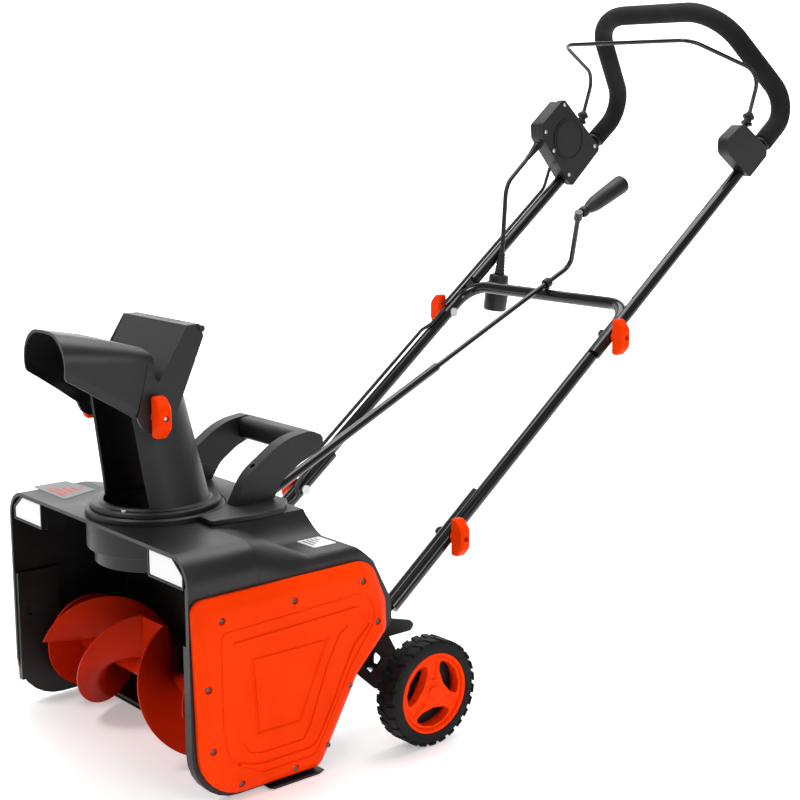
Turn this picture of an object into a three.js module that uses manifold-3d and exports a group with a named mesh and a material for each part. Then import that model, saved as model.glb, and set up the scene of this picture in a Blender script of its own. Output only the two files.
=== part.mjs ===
// Single stage electric snow thrower with a folding upper handle.
// Millimetres. +X is the operator's left, +Y is behind the machine, +Z is up, the ground is z = 0.
// Every piece is drawn in the machine's own datum, with y = 0 inside the motor housing. At the end
// all pieces move forward by MID_LENGTH, so that the origin lies under the middle of the machine.
import * as THREE from 'three';
import Module from 'manifold-3d';

const wasm = await Module();
wasm.setup();

// ---- driving dimensions ----
const MID_LENGTH = 365.8;
const GAP = 0.3;               // air between pieces that touch
const HALF_WIDTH = 240;        // outer face of the side walls
const WALL = 5;
const FRONT_Y = -236;
const ROOF_Z = 334;
const CHAMBER_BACK_Y = -45;    // rear face of the wall behind the auger
const SEAM_Y = -128;           // joint between auger housing and motor housing
const AUGER = { y: -138, z: 93, r: 80, halfLength: 190, lead: 223, blade: 5, tipAngle: 88, halfHub: 30 };
const CHUTE = { y: -133, flangeZ: 343.3, openHalfAngle: 53 };
const PIVOT = { y: -178, z: 484 };           // deflector hinge
const SLOPE = THREE.MathUtils.degToRad(38.3); // the handle tubes' rise
const JOINT_LOW = { y: 251.5, z: 266.6 };    // lower knob axis, the start of "along the handle"
const JOINT_HIGH_S = 425.3;                  // distance along the handle to the upper knob axis
const CROSSBAR_S = 493.3;
const TUBE_R = 10;
const LOWER_X = 177;
const MIDDLE_X = 186;
const UPPER_X = 190;
const WHEEL = { y: 138, z: 77, r: 77, x0: 245, x1: 283 };
const AXLE_HALF = 281.5;
const ROD = { foot: [0, 44, 316.1], slope: THREE.MathUtils.degToRad(24.95) };

// ---- materials ----
const PAINT = {
  shell: ['#2b2b2b', 0.55, 0], dark: ['#1c1c1c', 0.6, 0], orange: ['#f04400', 0.45, 0],
  auger: ['#d83a00', 0.5, 0], tube: ['#101010', 0.3, 0.6], steel: ['#b9bcc0', 0.35, 1],
  rubber: ['#1a1a1a', 0.85, 0], tyre: ['#222222', 0.9, 0], lens: ['#f1f1f1', 0.25, 0],
  foam: ['#161616', 0.95, 0], copper: ['#6d6f73', 0.5, 0.8],
};
const group = new THREE.Group();

function add(name, shape, paint) {
  const geometry = shape.isBufferGeometry ? shape : toGeometry(shape);
  const [color, roughness, metalness] = PAINT[paint];
  const mesh = new THREE.Mesh(geometry, new THREE.MeshStandardMaterial({ color, roughness, metalness }));
  mesh.name = name;
  group.add(mesh);
}

// ---- solids ----
function toManifold(geometry) {
  const source = geometry.index ? geometry.toNonIndexed() : geometry;
  const position = source.getAttribute('position');
  const keys = new Map();
  const vertices = [];
  const corners = [];
  for (let i = 0; i < position.count; i += 1) {
    const p = [position.getX(i), position.getY(i), position.getZ(i)];
    const key = p.map((v) => Math.round(v * 2000)).join(',');
    if (!keys.has(key)) {
      keys.set(key, vertices.length / 3);
      vertices.push(...p);
    }
    corners.push(keys.get(key));
  }
  const faces = [];
  for (let i = 0; i < corners.length; i += 3) {
    const [a, b, c] = corners.slice(i, i + 3);
    if (a !== b && b !== c && c !== a) {
      faces.push(a, b, c);
    }
  }
  const build = (list) => new wasm.Manifold(new wasm.Mesh({
    numProp: 3, vertProperties: new Float32Array(vertices), triVerts: new Uint32Array(list),
  }));
  const solid = build(faces);
  if (solid.volume() > 0) {
    return solid;
  }
  const flipped = [];
  for (let i = 0; i < faces.length; i += 3) {
    flipped.push(faces[i], faces[i + 2], faces[i + 1]);
  }
  return build(flipped);
}

function toGeometry(manifold) {
  const mesh = manifold.getMesh();
  const geometry = new THREE.BufferGeometry();
  const points = new Float32Array(mesh.triVerts.length * 3);
  mesh.triVerts.forEach((v, i) => {
    for (let k = 0; k < 3; k += 1) {
      points[i * 3 + k] = mesh.vertProperties[v * mesh.numProp + k];
    }
  });
  geometry.setAttribute('position', new THREE.BufferAttribute(points, 3));
  geometry.computeVertexNormals();
  return geometry;
}

function union(...solids) {
  return solids.reduce((a, b) => a.add(b));
}

function cut(solid, ...tools) {
  return tools.reduce((a, b) => a.subtract(b), solid);
}

function box(x0, x1, y0, y1, z0, z1) {
  const geometry = new THREE.BoxGeometry(x1 - x0, y1 - y0, z1 - z0);
  geometry.translate((x0 + x1) / 2, (y0 + y1) / 2, (z0 + z1) / 2);
  return toManifold(geometry);
}

// Round bar between two points; r1 makes it a cone.
function bar(from, to, r0, sides = 16, r1 = r0) {
  const a = new THREE.Vector3(...from);
  const b = new THREE.Vector3(...to);
  const geometry = new THREE.CylinderGeometry(r1, r0, a.distanceTo(b), sides);
  const turn = new THREE.Quaternion().setFromUnitVectors(new THREE.Vector3(0, 1, 0), b.clone().sub(a).normalize());
  geometry.applyQuaternion(turn);
  geometry.translate((a.x + b.x) / 2, (a.y + b.y) / 2, (a.z + b.z) / 2);
  return toManifold(geometry);
}

function ring(from, to, outer, inner, sides = 24) {
  const a = new THREE.Vector3(...from);
  const b = new THREE.Vector3(...to);
  const over = b.clone().sub(a).normalize();
  const hole = bar(a.clone().sub(over).toArray(), b.clone().add(over).toArray(), inner, sides);
  return cut(bar(from, to, outer, sides), hole);
}

// Solid skin through rings of points that all have the same count.
function loft(rings) {
  const count = rings[0].length;
  const positions = [];
  const push = (...points) => points.forEach((p) => positions.push(...p));
  for (let k = 0; k + 1 < rings.length; k += 1) {
    for (let i = 0; i < count; i += 1) {
      const j = (i + 1) % count;
      push(rings[k][i], rings[k][j], rings[k + 1][j]);
      push(rings[k][i], rings[k + 1][j], rings[k + 1][i]);
    }
  }
  [rings[0], rings[rings.length - 1]].forEach((loop, end) => {
    capTriangles(loop).forEach(([a, b, c]) => {
      if (end === 0) {
        push(loop[c], loop[b], loop[a]);
      } else {
        push(loop[a], loop[b], loop[c]);
      }
    });
  });
  const geometry = new THREE.BufferGeometry();
  geometry.setAttribute('position', new THREE.Float32BufferAttribute(positions, 3));
  return toManifold(geometry);
}

// Triangles of a flat loop, wound the way the loop runs.
function capTriangles(loop) {
  const points = loop.map((p) => new THREE.Vector3(...p));
  const normal = new THREE.Vector3();
  points.forEach((p, i) => normal.add(p.clone().cross(points[(i + 1) % points.length])));
  normal.normalize();
  const side = Math.abs(normal.x) < 0.9 ? new THREE.Vector3(1, 0, 0) : new THREE.Vector3(0, 1, 0);
  const u = side.sub(normal.clone().multiplyScalar(side.dot(normal))).normalize();
  const v = normal.clone().cross(u);
  const flat = points.map((p) => new THREE.Vector2(p.dot(u), p.dot(v)));
  return THREE.ShapeUtils.triangulateShape(flat, []);
}

// An outline of [y, z] points carried from x0 to x1.
function sideways(outline, x0, x1) {
  return loft([x0, x1].map((x) => outline.map(([y, z]) => [x, y, z])));
}

// An outline of [x, y] points carried from z0 to z1.
function upward(outline, z0, z1) {
  return loft([z0, z1].map((z) => outline.map(([x, y]) => [x, y, z])));
}

// Outline whose corners [a, b, radius] are rounded by arcs of a few points.
function rounded(corners, steps = 4) {
  const result = [];
  corners.forEach(([a, b, radius = 0], i) => {
    const here = new THREE.Vector2(a, b);
    if (radius === 0) {
      result.push([a, b]);
      return;
    }
    const before = corners[(i + corners.length - 1) % corners.length];
    const after = corners[(i + 1) % corners.length];
    const toBefore = new THREE.Vector2(before[0] - a, before[1] - b).normalize();
    const toAfter = new THREE.Vector2(after[0] - a, after[1] - b).normalize();
    const half = Math.acos(THREE.MathUtils.clamp(toBefore.dot(toAfter), -1, 1)) / 2;
    const reach = radius / Math.tan(half);
    const start = here.clone().addScaledVector(toBefore, reach);
    const middle = toBefore.clone().add(toAfter).normalize();
    const centre = here.clone().addScaledVector(middle, radius / Math.sin(half));
    const from = start.clone().sub(centre);
    const turn = Math.PI - 2 * half;
    const sense = Math.sign(toBefore.cross(toAfter));
    for (let k = 0; k <= steps; k += 1) {
      const spoke = from.clone().rotateAround(new THREE.Vector2(), (-sense * turn * k) / steps);
      result.push([centre.x + spoke.x, centre.y + spoke.y]);
    }
  });
  return result;
}

// The same outline moved inward by a distance.
function inset(outline, distance) {
  const count = outline.length;
  const area = outline.reduce((sum, [a, b], i) => {
    const [c, d] = outline[(i + 1) % count];
    return sum + a * d - c * b;
  }, 0);
  const sense = Math.sign(area);
  return outline.map(([a, b], i) => {
    const [pa, pb] = outline[(i + count - 1) % count];
    const [na, nb] = outline[(i + 1) % count];
    const one = new THREE.Vector2(a - pa, b - pb).normalize();
    const two = new THREE.Vector2(na - a, nb - b).normalize();
    const inward = new THREE.Vector2(-(one.y + two.y), one.x + two.x).multiplyScalar(sense).normalize();
    const lean = Math.max(0.35, Math.sqrt((1 + one.dot(two)) / 2));
    return [a + (inward.x * distance) / lean, b + (inward.y * distance) / lean];
  });
}

// Path through bent corners [x, y, z, bend radius], sampled only where it turns.
class BentPath extends THREE.Curve {
  constructor(corners, arcSteps = 5) {
    super();
    this.stations = [];
    const points = corners.map(([x, y, z]) => new THREE.Vector3(x, y, z));
    corners.forEach((corner, i) => {
      const radius = corner[3] || 0;
      if (radius === 0 || i === 0 || i === corners.length - 1) {
        this.stations.push(points[i]);
        return;
      }
      const back = points[i - 1].clone().sub(points[i]).normalize();
      const ahead = points[i + 1].clone().sub(points[i]).normalize();
      const half = Math.acos(back.dot(ahead)) / 2;
      const reach = radius / Math.tan(half);
      const centre = points[i].clone().addScaledVector(back.clone().add(ahead).normalize(), radius / Math.sin(half));
      const start = points[i].clone().addScaledVector(back, reach).sub(centre);
      const axis = ahead.clone().cross(back).normalize();
      for (let k = 0; k <= arcSteps; k += 1) {
        const angle = ((Math.PI - 2 * half) * k) / arcSteps;
        this.stations.push(start.clone().applyAxisAngle(axis, angle).add(centre));
      }
    });
  }

  getSpacedPoints() {
    return this.stations;
  }

  getTangentAt(u, target = new THREE.Vector3()) {
    const last = this.stations.length - 1;
    const i = Math.round(u * last);
    const before = this.stations[i].clone().sub(this.stations[Math.max(i - 1, 0)]).normalize();
    const after = this.stations[Math.min(i + 1, last)].clone().sub(this.stations[i]).normalize();
    return target.copy(before).add(after).normalize();
  }
}

function circle(radius, sides) {
  const points = [];
  for (let i = 0; i < sides; i += 1) {
    const angle = (2 * Math.PI * i) / sides;
    points.push(new THREE.Vector2(radius * Math.cos(angle), radius * Math.sin(angle)));
  }
  return new THREE.Shape(points);
}

function tube(corners, radius, sides = 12, arcSteps = 5) {
  const path = new BentPath(corners, arcSteps);
  const options = { extrudePath: path, steps: path.stations.length - 1, bevelEnabled: false };
  return toManifold(new THREE.ExtrudeGeometry(circle(radius, sides), options));
}

function mirrorX(solid) {
  return solid.mirror([1, 0, 0]);
}

// Point at a distance along the handle and a height square to it.
function along(s, up = 0) {
  return [
    JOINT_LOW.y + s * Math.cos(SLOPE) - up * Math.sin(SLOPE),
    JOINT_LOW.z + s * Math.sin(SLOPE) + up * Math.cos(SLOPE),
  ];
}

// A block in handle coordinates, seen from the side as a rounded outline of [s, up] corners.
function handleBlock(corners, x0, x1) {
  return sideways(rounded(corners, 3).map(([s, up]) => along(s, up)), x0, x1);
}

// ---- housing ----
// Side wall outline, also the outline of the orange cover.
const sideOutline = rounded([
  [FRONT_Y + 1, 279, 16], [FRONT_Y + 9, 9, 68], [-37, 9, 16], [28, 124, 20], [80, 176, 18], [78, 220, 30],
  [52, 281, 34],
], 4);
const wallOutline = rounded([
  [FRONT_Y, ROOF_Z - 38], [FRONT_Y, 4, 70], [-40, 4, 8], [26, 122, 20], [77, 174, 14], [75, 220, 30],
  [50, 277, 34], [SEAM_Y, 277], [SEAM_Y, ROOF_Z - 38],
], 4);
const BELT_LOOP = [{ y: AUGER.y, z: AUGER.z, r: 62 }, { y: 0, z: 205, r: 38 }];

// Outline around two circles and the straight runs between them.
function loopOutline([a, b], extra = 0, steps = 8) {
  const gap = Math.hypot(b.y - a.y, b.z - a.z);
  const heading = Math.atan2(b.z - a.z, b.y - a.y);
  const open = Math.acos((a.r - b.r) / gap);
  const arc = (c, from, to) => Array.from({ length: steps + 1 }, (_, k) => {
    const angle = from + ((to - from) * k) / steps;
    return [c.y + (c.r + extra) * Math.cos(angle), c.z + (c.r + extra) * Math.sin(angle)];
  });
  return [
    ...arc(a, heading + open, heading + 2 * Math.PI - open),
    ...arc(b, heading - open, heading + open),
  ];
}

const shoulder = rounded([
  [-HALF_WIDTH, 270], [-HALF_WIDTH, ROOF_Z, 38], [HALF_WIDTH, ROOF_Z, 38], [HALF_WIDTH, 270],
], 5);
const shoulderInside = rounded([
  [-HALF_WIDTH + WALL, 260], [-HALF_WIDTH + WALL, ROOF_Z - WALL, 34],
  [HALF_WIDTH - WALL, ROOF_Z - WALL, 34], [HALF_WIDTH - WALL, 260],
], 5);
function acrossFromTo(outline, y0, y1) {
  return loft([y0, y1].map((y) => outline.map(([x, z]) => [x, y, z])));
}

const roofFront = cut(
  acrossFromTo(shoulder, FRONT_Y, SEAM_Y),
  acrossFromTo(shoulderInside, FRONT_Y - 1, SEAM_Y + 1),
  box(-250, 250, -250, 0, 200, 276),
);
const chuteHole = bar([0, CHUTE.y, 250], [0, CHUTE.y, 350], 79.4, 24);
const nearWall = cut(
  sideways(wallOutline, 226, HALF_WIDTH),
  sideways(loopOutline(BELT_LOOP), 229, HALF_WIDTH + 1),
  bar([200, AUGER.y, AUGER.z], [250, AUGER.y, AUGER.z], 16.3, 20),
  bar([200, 0, 205], [250, 0, 205], 12, 16),
);
const farWall = union(
  sideways(wallOutline, -HALF_WIDTH, -HALF_WIDTH + WALL),
  box(-HALF_WIDTH + 1, -228, FRONT_Y + 2, -166, 45, 206),
  ring([-HALF_WIDTH + 1, AUGER.y, AUGER.z], [-226, AUGER.y, AUGER.z], 30, 16.3, 20),
);
const farBore = bar([-250, AUGER.y, AUGER.z], [-220, AUGER.y, AUGER.z], 16.3, 20);
const backWallCurve = [];
for (let k = 0; k <= 6; k += 1) {
  const angle = THREE.MathUtils.degToRad(-72 + 12 * k);
  backWallCurve.push([AUGER.y + 88 * Math.cos(angle), AUGER.z + 88 * Math.sin(angle)]);
}
const backWall = sideways([
  ...backWallCurve, [-50, 293], [CHAMBER_BACK_Y, 293], [CHAMBER_BACK_Y, 40], [-84, 4], [-111, 4],
], -HALF_WIDTH + 1, 227);
const innerCollar = union(
  ring([0, CHUTE.y, 288], [0, CHUTE.y, ROOF_Z - 1], 94, 79, 24),
  ring([0, CHUTE.y, 268], [0, CHUTE.y, 290], 86, 79, 24),
);
const collarLedge = box(-95, 95, -222, SEAM_Y, ROOF_Z - 4, ROOF_Z - 1);
const lampBlock = (side) => box(
  Math.min(side * 143, side * 230), Math.max(side * 143, side * 230), -226, -196, 290, ROOF_Z - 3,
);
const insideLimit = acrossFromTo(inset(shoulder, 1).map(([x, z]) => [x, z < 280 ? 0 : z]), -300, 100);
add('auger_housing', cut(
  union(
    roofFront, nearWall, cut(farWall, farBore), backWall,
    innerCollar.intersect(box(-100, 100, -250, SEAM_Y, 0, 400)),
    collarLedge,
    lampBlock(1).intersect(insideLimit), lampBlock(-1).intersect(insideLimit),
  ),
  chuteHole,
), 'shell');

const rearSections = [
  [SEAM_Y + GAP, [[-240, 0], [-240, 334, 38], [240, 334, 38], [240, 0]]],
  [-92, [[-240, 0], [-240, 328, 46], [240, 328, 46], [240, 0]]],
  [-44, [[-240, 0], [-240, 301, 14], [240, 301, 14], [240, 0]]],
  [120, [[-240, 0], [-240, 301, 14], [240, 301, 14], [240, 0]]],
];
function rearLoft(shrink) {
  return loft(rearSections.map(([y, corners]) => {
    const outline = inset(rounded(corners, 4), shrink);
    return outline.map(([x, z]) => [x, y, z]);
  }));
}
const rearOutline = rounded([
  [SEAM_Y + GAP, ROOF_Z + 2], [-40, ROOF_Z + 2], [-40, 300.5], [34, 300.5, 14], [62, 276, 20], [94, 214, 20],
  [95, 180, 14], [56, 150, 20], [24, 115, 20], [-12, 54], [-34, 12], [CHAMBER_BACK_Y + GAP, 12],
  [CHAMBER_BACK_Y + GAP, 295], [-92, 322], [SEAM_Y + GAP, ROOF_Z - WALL],
], 3);
const rearCavity = [
  [-60, 296], [26, 296], [40, 291], [57, 273], [88, 210], [88, 186], [52, 153], [20, 118], [-15, 56],
  [-35, 20], [-60, 20],
];
const wallKeepOut = (x0, x1) => sideways(inset(wallOutline, -GAP), x0, x1);
// The raised middle of the roof that carries the chute and the top plate.
const block = (levels, front) => loft(levels.map(
  ([z, x, back]) => [[-x, front, z], [x, front, z], [x, back, z], [-x, back, z]],
));
const hump = block([[297, 152, 52], [ROOF_Z, 132, 22]], SEAM_Y + GAP);
const humpInside = block([[290, 147, 46], [ROOF_Z - 4, 127, 18]], -122);
const PINION_Z = 316;
const pinionSlot = union(
  box(-14, 14, -64, -30, 290, ROOF_Z + 1),
  bar([0, -40, PINION_Z], [0, 60, PINION_Z], 10, 12),
);
// The sides of the shoulder, above the side walls.
const shoulderSide = (x0, x1, back) => box(x0, x1, SEAM_Y + GAP, back, 277.6, ROOF_Z + 2).intersect(rearLoft(0));
add('motor_housing', cut(
  union(
    sideways(rearOutline, -HALF_WIDTH, HALF_WIDTH).intersect(rearLoft(0)), hump,
    shoulderSide(227.5, 241, -38), shoulderSide(-241, -224, -50.4),
  ),
  sideways(rearCavity, -HALF_WIDTH + WALL, HALF_WIDTH - WALL).intersect(rearLoft(4)),
  humpInside,
  wallKeepOut(225.7, 241), wallKeepOut(-241, -HALF_WIDTH + WALL + GAP),
  chuteHole,
  pinionSlot,
), 'shell');

const coverBody = loft([
  [HALF_WIDTH + GAP, 0], [HALF_WIDTH + 5, 0], [HALF_WIDTH + 14, 13],
].map(([x, shrink]) => inset(sideOutline, shrink).map(([y, z]) => [x, y, z])));
add('belt_cover', cut(coverBody, sideways(loopOutline(BELT_LOOP, -1), HALF_WIDTH, HALF_WIDTH + 10)), 'orange');

const capOutline = rounded([[-205, 30, 40], [-70, 30, 40], [-70, 160, 40], [-205, 160, 40]], 5);
add('side_cap', loft([[-HALF_WIDTH - GAP, 0], [-HALF_WIDTH - 8, 5]].map(
  ([x, shrink]) => inset(capOutline, shrink).map(([y, z]) => [x, y, z]),
)), 'dark');

add('scraper_bar', sideways([[-112, 1], [-106, 1], [-96, 3.6], [-113, 3.6]], -226, 222), 'dark');
const skidOutline = rounded([[-126, 3.7], [-118, 0], [-44, 0], [-34, 3.7]]);
add('skid_left', sideways(skidOutline, 226, 241), 'dark');
add('skid_right', sideways(skidOutline, -241, -230), 'dark');

function lamp(side) {
  const outline = [[146, 293], [226, 293], [226, 309], [203, 328], [146, 328]];
  return loft([-234, -226 - GAP].map((y) => outline.map(([x, z]) => [side * x, y, z])));
}
add('headlight_left', lamp(1), 'lens');
add('headlight_right', lamp(-1), 'lens');

// ---- auger and its drive ----
// Angle 0 points forward and 90 points up.
function augerPoint(x, r, degrees) {
  const angle = THREE.MathUtils.degToRad(degrees);
  return [x, AUGER.y - r * Math.cos(angle), AUGER.z + r * Math.sin(angle)];
}

function flight(side, start) {
  const rings = [];
  const run = AUGER.halfLength - AUGER.halfHub;
  const steps = 16;
  for (let k = 0; k <= steps; k += 1) {
    const distance = (run * k) / steps;
    const x = side * (AUGER.halfHub + distance);
    const angle = AUGER.tipAngle + start - (distance / AUGER.lead) * 360;
    const half = AUGER.blade / 2;
    rings.push([
      augerPoint(x - half, 11, angle), augerPoint(x - half, AUGER.r, angle),
      augerPoint(x + half, AUGER.r, angle), augerPoint(x + half, 11, angle),
    ]);
  }
  return loft(rings);
}

function paddle(start) {
  const reach = AUGER.halfHub - 1;
  const thin = 3.4;
  return loft([-reach, reach].map((x) => [
    augerPoint(x, 10, AUGER.tipAngle + start - 20), augerPoint(x, AUGER.r - 1.5, AUGER.tipAngle + start - thin / 2),
    augerPoint(x, AUGER.r - 1.5, AUGER.tipAngle + start + thin / 2), augerPoint(x, 10, AUGER.tipAngle + start + 20),
  ]));
}
const endDisc = (side) => bar(augerPoint(side * 189, 0, 0), augerPoint(side * 193, 0, 0), 70, 20);
add('auger', union(
  bar(augerPoint(-236, 0, 0), augerPoint(247, 0, 0), 8, 12),
  bar(augerPoint(-221, 0, 0), augerPoint(221, 0, 0), 15, 14),
  endDisc(1), endDisc(-1),
  flight(1, 0), flight(1, 180), flight(-1, 0), flight(-1, 180), paddle(0), paddle(180),
), 'auger');
add('auger_bearing_left', ring(augerPoint(223, 0, 0), augerPoint(232, 0, 0), 16, 8.1, 20), 'steel');
add('auger_bearing_right', ring(augerPoint(-234, 0, 0), augerPoint(-223, 0, 0), 16, 8.1, 20), 'steel');
add('auger_pulley', ring(augerPoint(233.5, 0, 0), augerPoint(246, 0, 0), 54, 8.3, 28), 'dark');
add('motor_pulley', union(
  bar([233.5, 0, 205], [246, 0, 205], 20, 20),
  bar([180, 0, 205], [234, 0, 205], 6, 12),
), 'steel');
const beltSeat = [{ ...BELT_LOOP[0], r: 54 }, { ...BELT_LOOP[1], r: 20 }];
add('drive_belt', cut(
  sideways(loopOutline(beltSeat, 3.6, 12), 234.5, 245),
  sideways(loopOutline(beltSeat, 1, 12), 230, 250),
), 'rubber');
add('motor', cut(
  union(
    bar([60, 0, 205], [196, 0, 205], 44, 20),
    bar([190, 0, 205], [224, 0, 205], 30, 20),
    bar([44, 0, 205], [62, 0, 205], 20, 20),
  ),
  bar([170, 0, 205], [230, 0, 205], 6.3, 12),
), 'copper');

// ---- chute ----
add('chute_collar', ring([0, CHUTE.y, ROOF_Z + GAP], [0, CHUTE.y, CHUTE.flangeZ - GAP], 97, 79, 32), 'shell');
const chuteSections = [
  { z: 349, y: CHUTE.y, r: 75 }, { z: 400, y: -142.5, r: 72 }, { z: 470, y: -155.7, r: 67.5 },
  { z: 505, y: -162.2, r: 65.5 },
];
// Ring of points of the open channel at one height.
function channel({ z, y, r }, steps = 11) {
  const open = CHUTE.openHalfAngle;
  const side = (radius, backwards) => Array.from({ length: steps + 1 }, (_, k) => {
    const part = backwards ? 1 - k / steps : k / steps;
    const angle = THREE.MathUtils.degToRad(open + (360 - 2 * open) * part);
    return [radius * Math.sin(angle), y - radius * Math.cos(angle), z];
  });
  return [...side(r, false), ...side(r - 4, true)];
}
add('chute', union(
  ring([0, CHUTE.y, CHUTE.flangeZ], [0, CHUTE.y, CHUTE.flangeZ + 7], 90, 71, 32),
  ring([0, CHUTE.y, ROOF_Z - 4], [0, CHUTE.y, CHUTE.flangeZ + 2], 78.2, 71, 32),
  loft(chuteSections.map((section) => channel(section))),
  cut(
    bar([-78.2, PIVOT.y, PIVOT.z], [78.2, PIVOT.y, PIVOT.z], 13, 14),
    bar([0, -150.5, 430], [0, -163, 520], 63.5, 24),
    bar([-90, PIVOT.y, PIVOT.z], [90, PIVOT.y, PIVOT.z], 4.3, 12),
  ),
), 'shell');

// Hood section: an arch whose feet stand on the hood's lower edge.
function arch({ y, foot, top, half, corner }, shrink) {
  const outline = rounded([
    [half - shrink, foot], [half - shrink, top - shrink, corner], [-half + shrink, top - shrink, corner],
    [-half + shrink, foot],
  ], 4);
  return outline.map(([x, z]) => [x, y, z]);
}
const hoodSections = [
  { y: -294, foot: 543, top: 600, half: 53, corner: 30 },
  { y: -240, foot: 506, top: 588, half: 70, corner: 26 },
  { y: -196, foot: 476, top: 578, half: 82, corner: 22 },
  { y: -184, foot: 470, top: 574, half: 82, corner: 22 },
];
const hoodInside = [-296, -240, -196, -182].map((y, i) => ({ ...hoodSections[i], y, foot: hoodSections[i].foot - 3 }));
const cheekOutline = rounded([
  [-206, 484, 6], [-188, 552], [-184, 538], [-172, 529], [-126, 600], [-104, 597, 4], [-101, 583], [-145, 486],
  [-158, 462, 20], [-196, 462, 20],
], 4);
const cheek = (x0, x1) => sideways(cheekOutline, x0, x1);
const tab = loft([-80, 80].map((x) => [
  [x, -126, 600], [x, -122.5, 598], [x, -176, 512], [x, -179.5, 514],
]));
const tabLip = box(-80, 80, -126, -105, 596.5, 600);
add('deflector', cut(
  union(
    cut(loft(hoodSections.map((section) => arch(section, 0))), loft(hoodInside.map((section) => arch(section, 3.5)))),
    cheek(78.6, 82.5), cheek(-82.5, -78.6), tab, tabLip,
  ),
  bar([-90, PIVOT.y, PIVOT.z], [90, PIVOT.y, PIVOT.z], 4.3, 12),
), 'shell');

// Half-moon wing knob whose flat side faces the tube, with its screw along X.
function wingKnob(x, y, z, reach) {
  const wing = rounded([[2, -28.5, 3], [12, -28.5, 10], [25, -14, 16], [25, 14, 16], [12, 28.5, 10], [2, 28.5, 3]], 2);
  return cut(
    union(
      loft([y - 7.5, y + 7.5].map((at) => wing.map(([a, b]) => [x + a, at, z + b]))),
      bar([x, y, z], [x + 4, y, z], 12, 12),
      bar([x - reach, y, z], [x + 1, y, z], 4, 8),
    ),
    bar([x + 16, y, z], [x + 27, y, z], 3.4, 6),
  );
}
add('deflector_knob_left', wingKnob(82.8, PIVOT.y, PIVOT.z, 18), 'orange');
add('deflector_knob_right', mirrorX(wingKnob(82.8, PIVOT.y, PIVOT.z, 18)), 'orange');

// ---- top plate and carry handle ----
const plateOutline = rounded([
  [-93, -125], [-130, -128, 6], [-141, -60, 20], [-137, -14, 10], [-100, 21, 10], [100, 21, 10], [137, -14, 10],
  [141, -60, 20], [130, -128, 6], [93, -125],
], 2);
add('top_plate', cut(
  upward(plateOutline, ROOF_Z + GAP, 342),
  bar([0, CHUTE.y, 330], [0, CHUTE.y, 350], 97.4, 32),
), 'shell');
const armOutline = rounded([
  [-60, 342.3], [-37, 383, 70], [28, 426, 110], [74, 431, 24], [95, 421, 10], [93, 402, 10], [52, 386, 60],
  [22, 366, 50], [6, 342.3],
], 3);
add('carry_handle', union(
  sideways(armOutline, 68, 88), sideways(armOutline, -88, -68),
  loft([-70, 70].map((x) => rounded([[56, 396, 8], [88, 400, 10], [86, 430, 10], [54, 428, 10]], 2)
    .map(([y, z]) => [x, y, z]))),
), 'shell');

// ---- chute drive ----
add('chute_pinion', union(
  bar([0, -56, PINION_Z], [0, -34, PINION_Z], 11, 14),
  bar([0, -36, PINION_Z], [0, 34, PINION_Z], 5, 10),
  bar([0, 32, PINION_Z], [0, 40, PINION_Z], 9, 12),
), 'dark');
const rodPoint = (d, up = 0, x = 0) => [
  x, ROD.foot[1] + d * Math.cos(ROD.slope) - up * Math.sin(ROD.slope),
  ROD.foot[2] + d * Math.sin(ROD.slope) + up * Math.cos(ROD.slope),
];
const CRANK_D = 718;
const CRANK_R = 112;
const CRANK_TURN = THREE.MathUtils.degToRad(29);
const crankOut = (d, r) => rodPoint(d, r * Math.cos(CRANK_TURN), r * Math.sin(CRANK_TURN));
add('crank_rod', union(
  tube([rodPoint(12), [...rodPoint(CRANK_D), 18], crankOut(CRANK_D, CRANK_R + 1)], 4.5, 10, 4),
  bar(rodPoint(10), rodPoint(384), 7, 12),
  bar(crankOut(CRANK_D, CRANK_R - 9), crankOut(CRANK_D, CRANK_R + 9), 7.5, 10),
), 'tube');
add('crank_grip', union(
  bar(crankOut(CRANK_D + 8, CRANK_R), crankOut(CRANK_D + 16, CRANK_R), 8, 12, 14),
  bar(crankOut(CRANK_D + 16, CRANK_R), crankOut(CRANK_D + 106, CRANK_R), 14, 12, 16),
  bar(crankOut(CRANK_D + 106, CRANK_R), crankOut(CRANK_D + 118, CRANK_R), 16, 12, 12),
), 'rubber');

// ---- handle tubes ----
const MIDDLE_END_S = -142;
const LOWER_TOP_S = 82;
const sPoint = (x, s) => [x, ...along(s)];
const middleTube = tube([
  sPoint(MIDDLE_X, MIDDLE_END_S), [...sPoint(MIDDLE_X, CROSSBAR_S), 42],
  [...sPoint(-MIDDLE_X, CROSSBAR_S), 42], sPoint(-MIDDLE_X, MIDDLE_END_S),
], TUBE_R, 10, 5);
const lapLow = (MIDDLE_X + LOWER_X) / 2;
const lapHigh = MIDDLE_X + 1.5;
const band = (s0, s1, x0, x1) => handleBlock([[s0, -30], [s0, 30], [s1, 30], [s1, -30]], x0, x1);
const knobHoles = union(
  bar([-230, ...along(0)], [230, ...along(0)], 4.3, 12),
  bar([-230, ...along(JOINT_HIGH_S)], [230, ...along(JOINT_HIGH_S)], 4.3, 12),
);
add('middle_handle', cut(
  middleTube,
  band(-200, LOWER_TOP_S + 4, -lapLow - GAP / 2, lapLow + GAP / 2),
  band(JOINT_HIGH_S - 48, CROSSBAR_S - 12, lapHigh - GAP / 2, 230),
  band(JOINT_HIGH_S - 48, CROSSBAR_S - 12, -230, -lapHigh + GAP / 2),
  knobHoles,
), 'tube');

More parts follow.
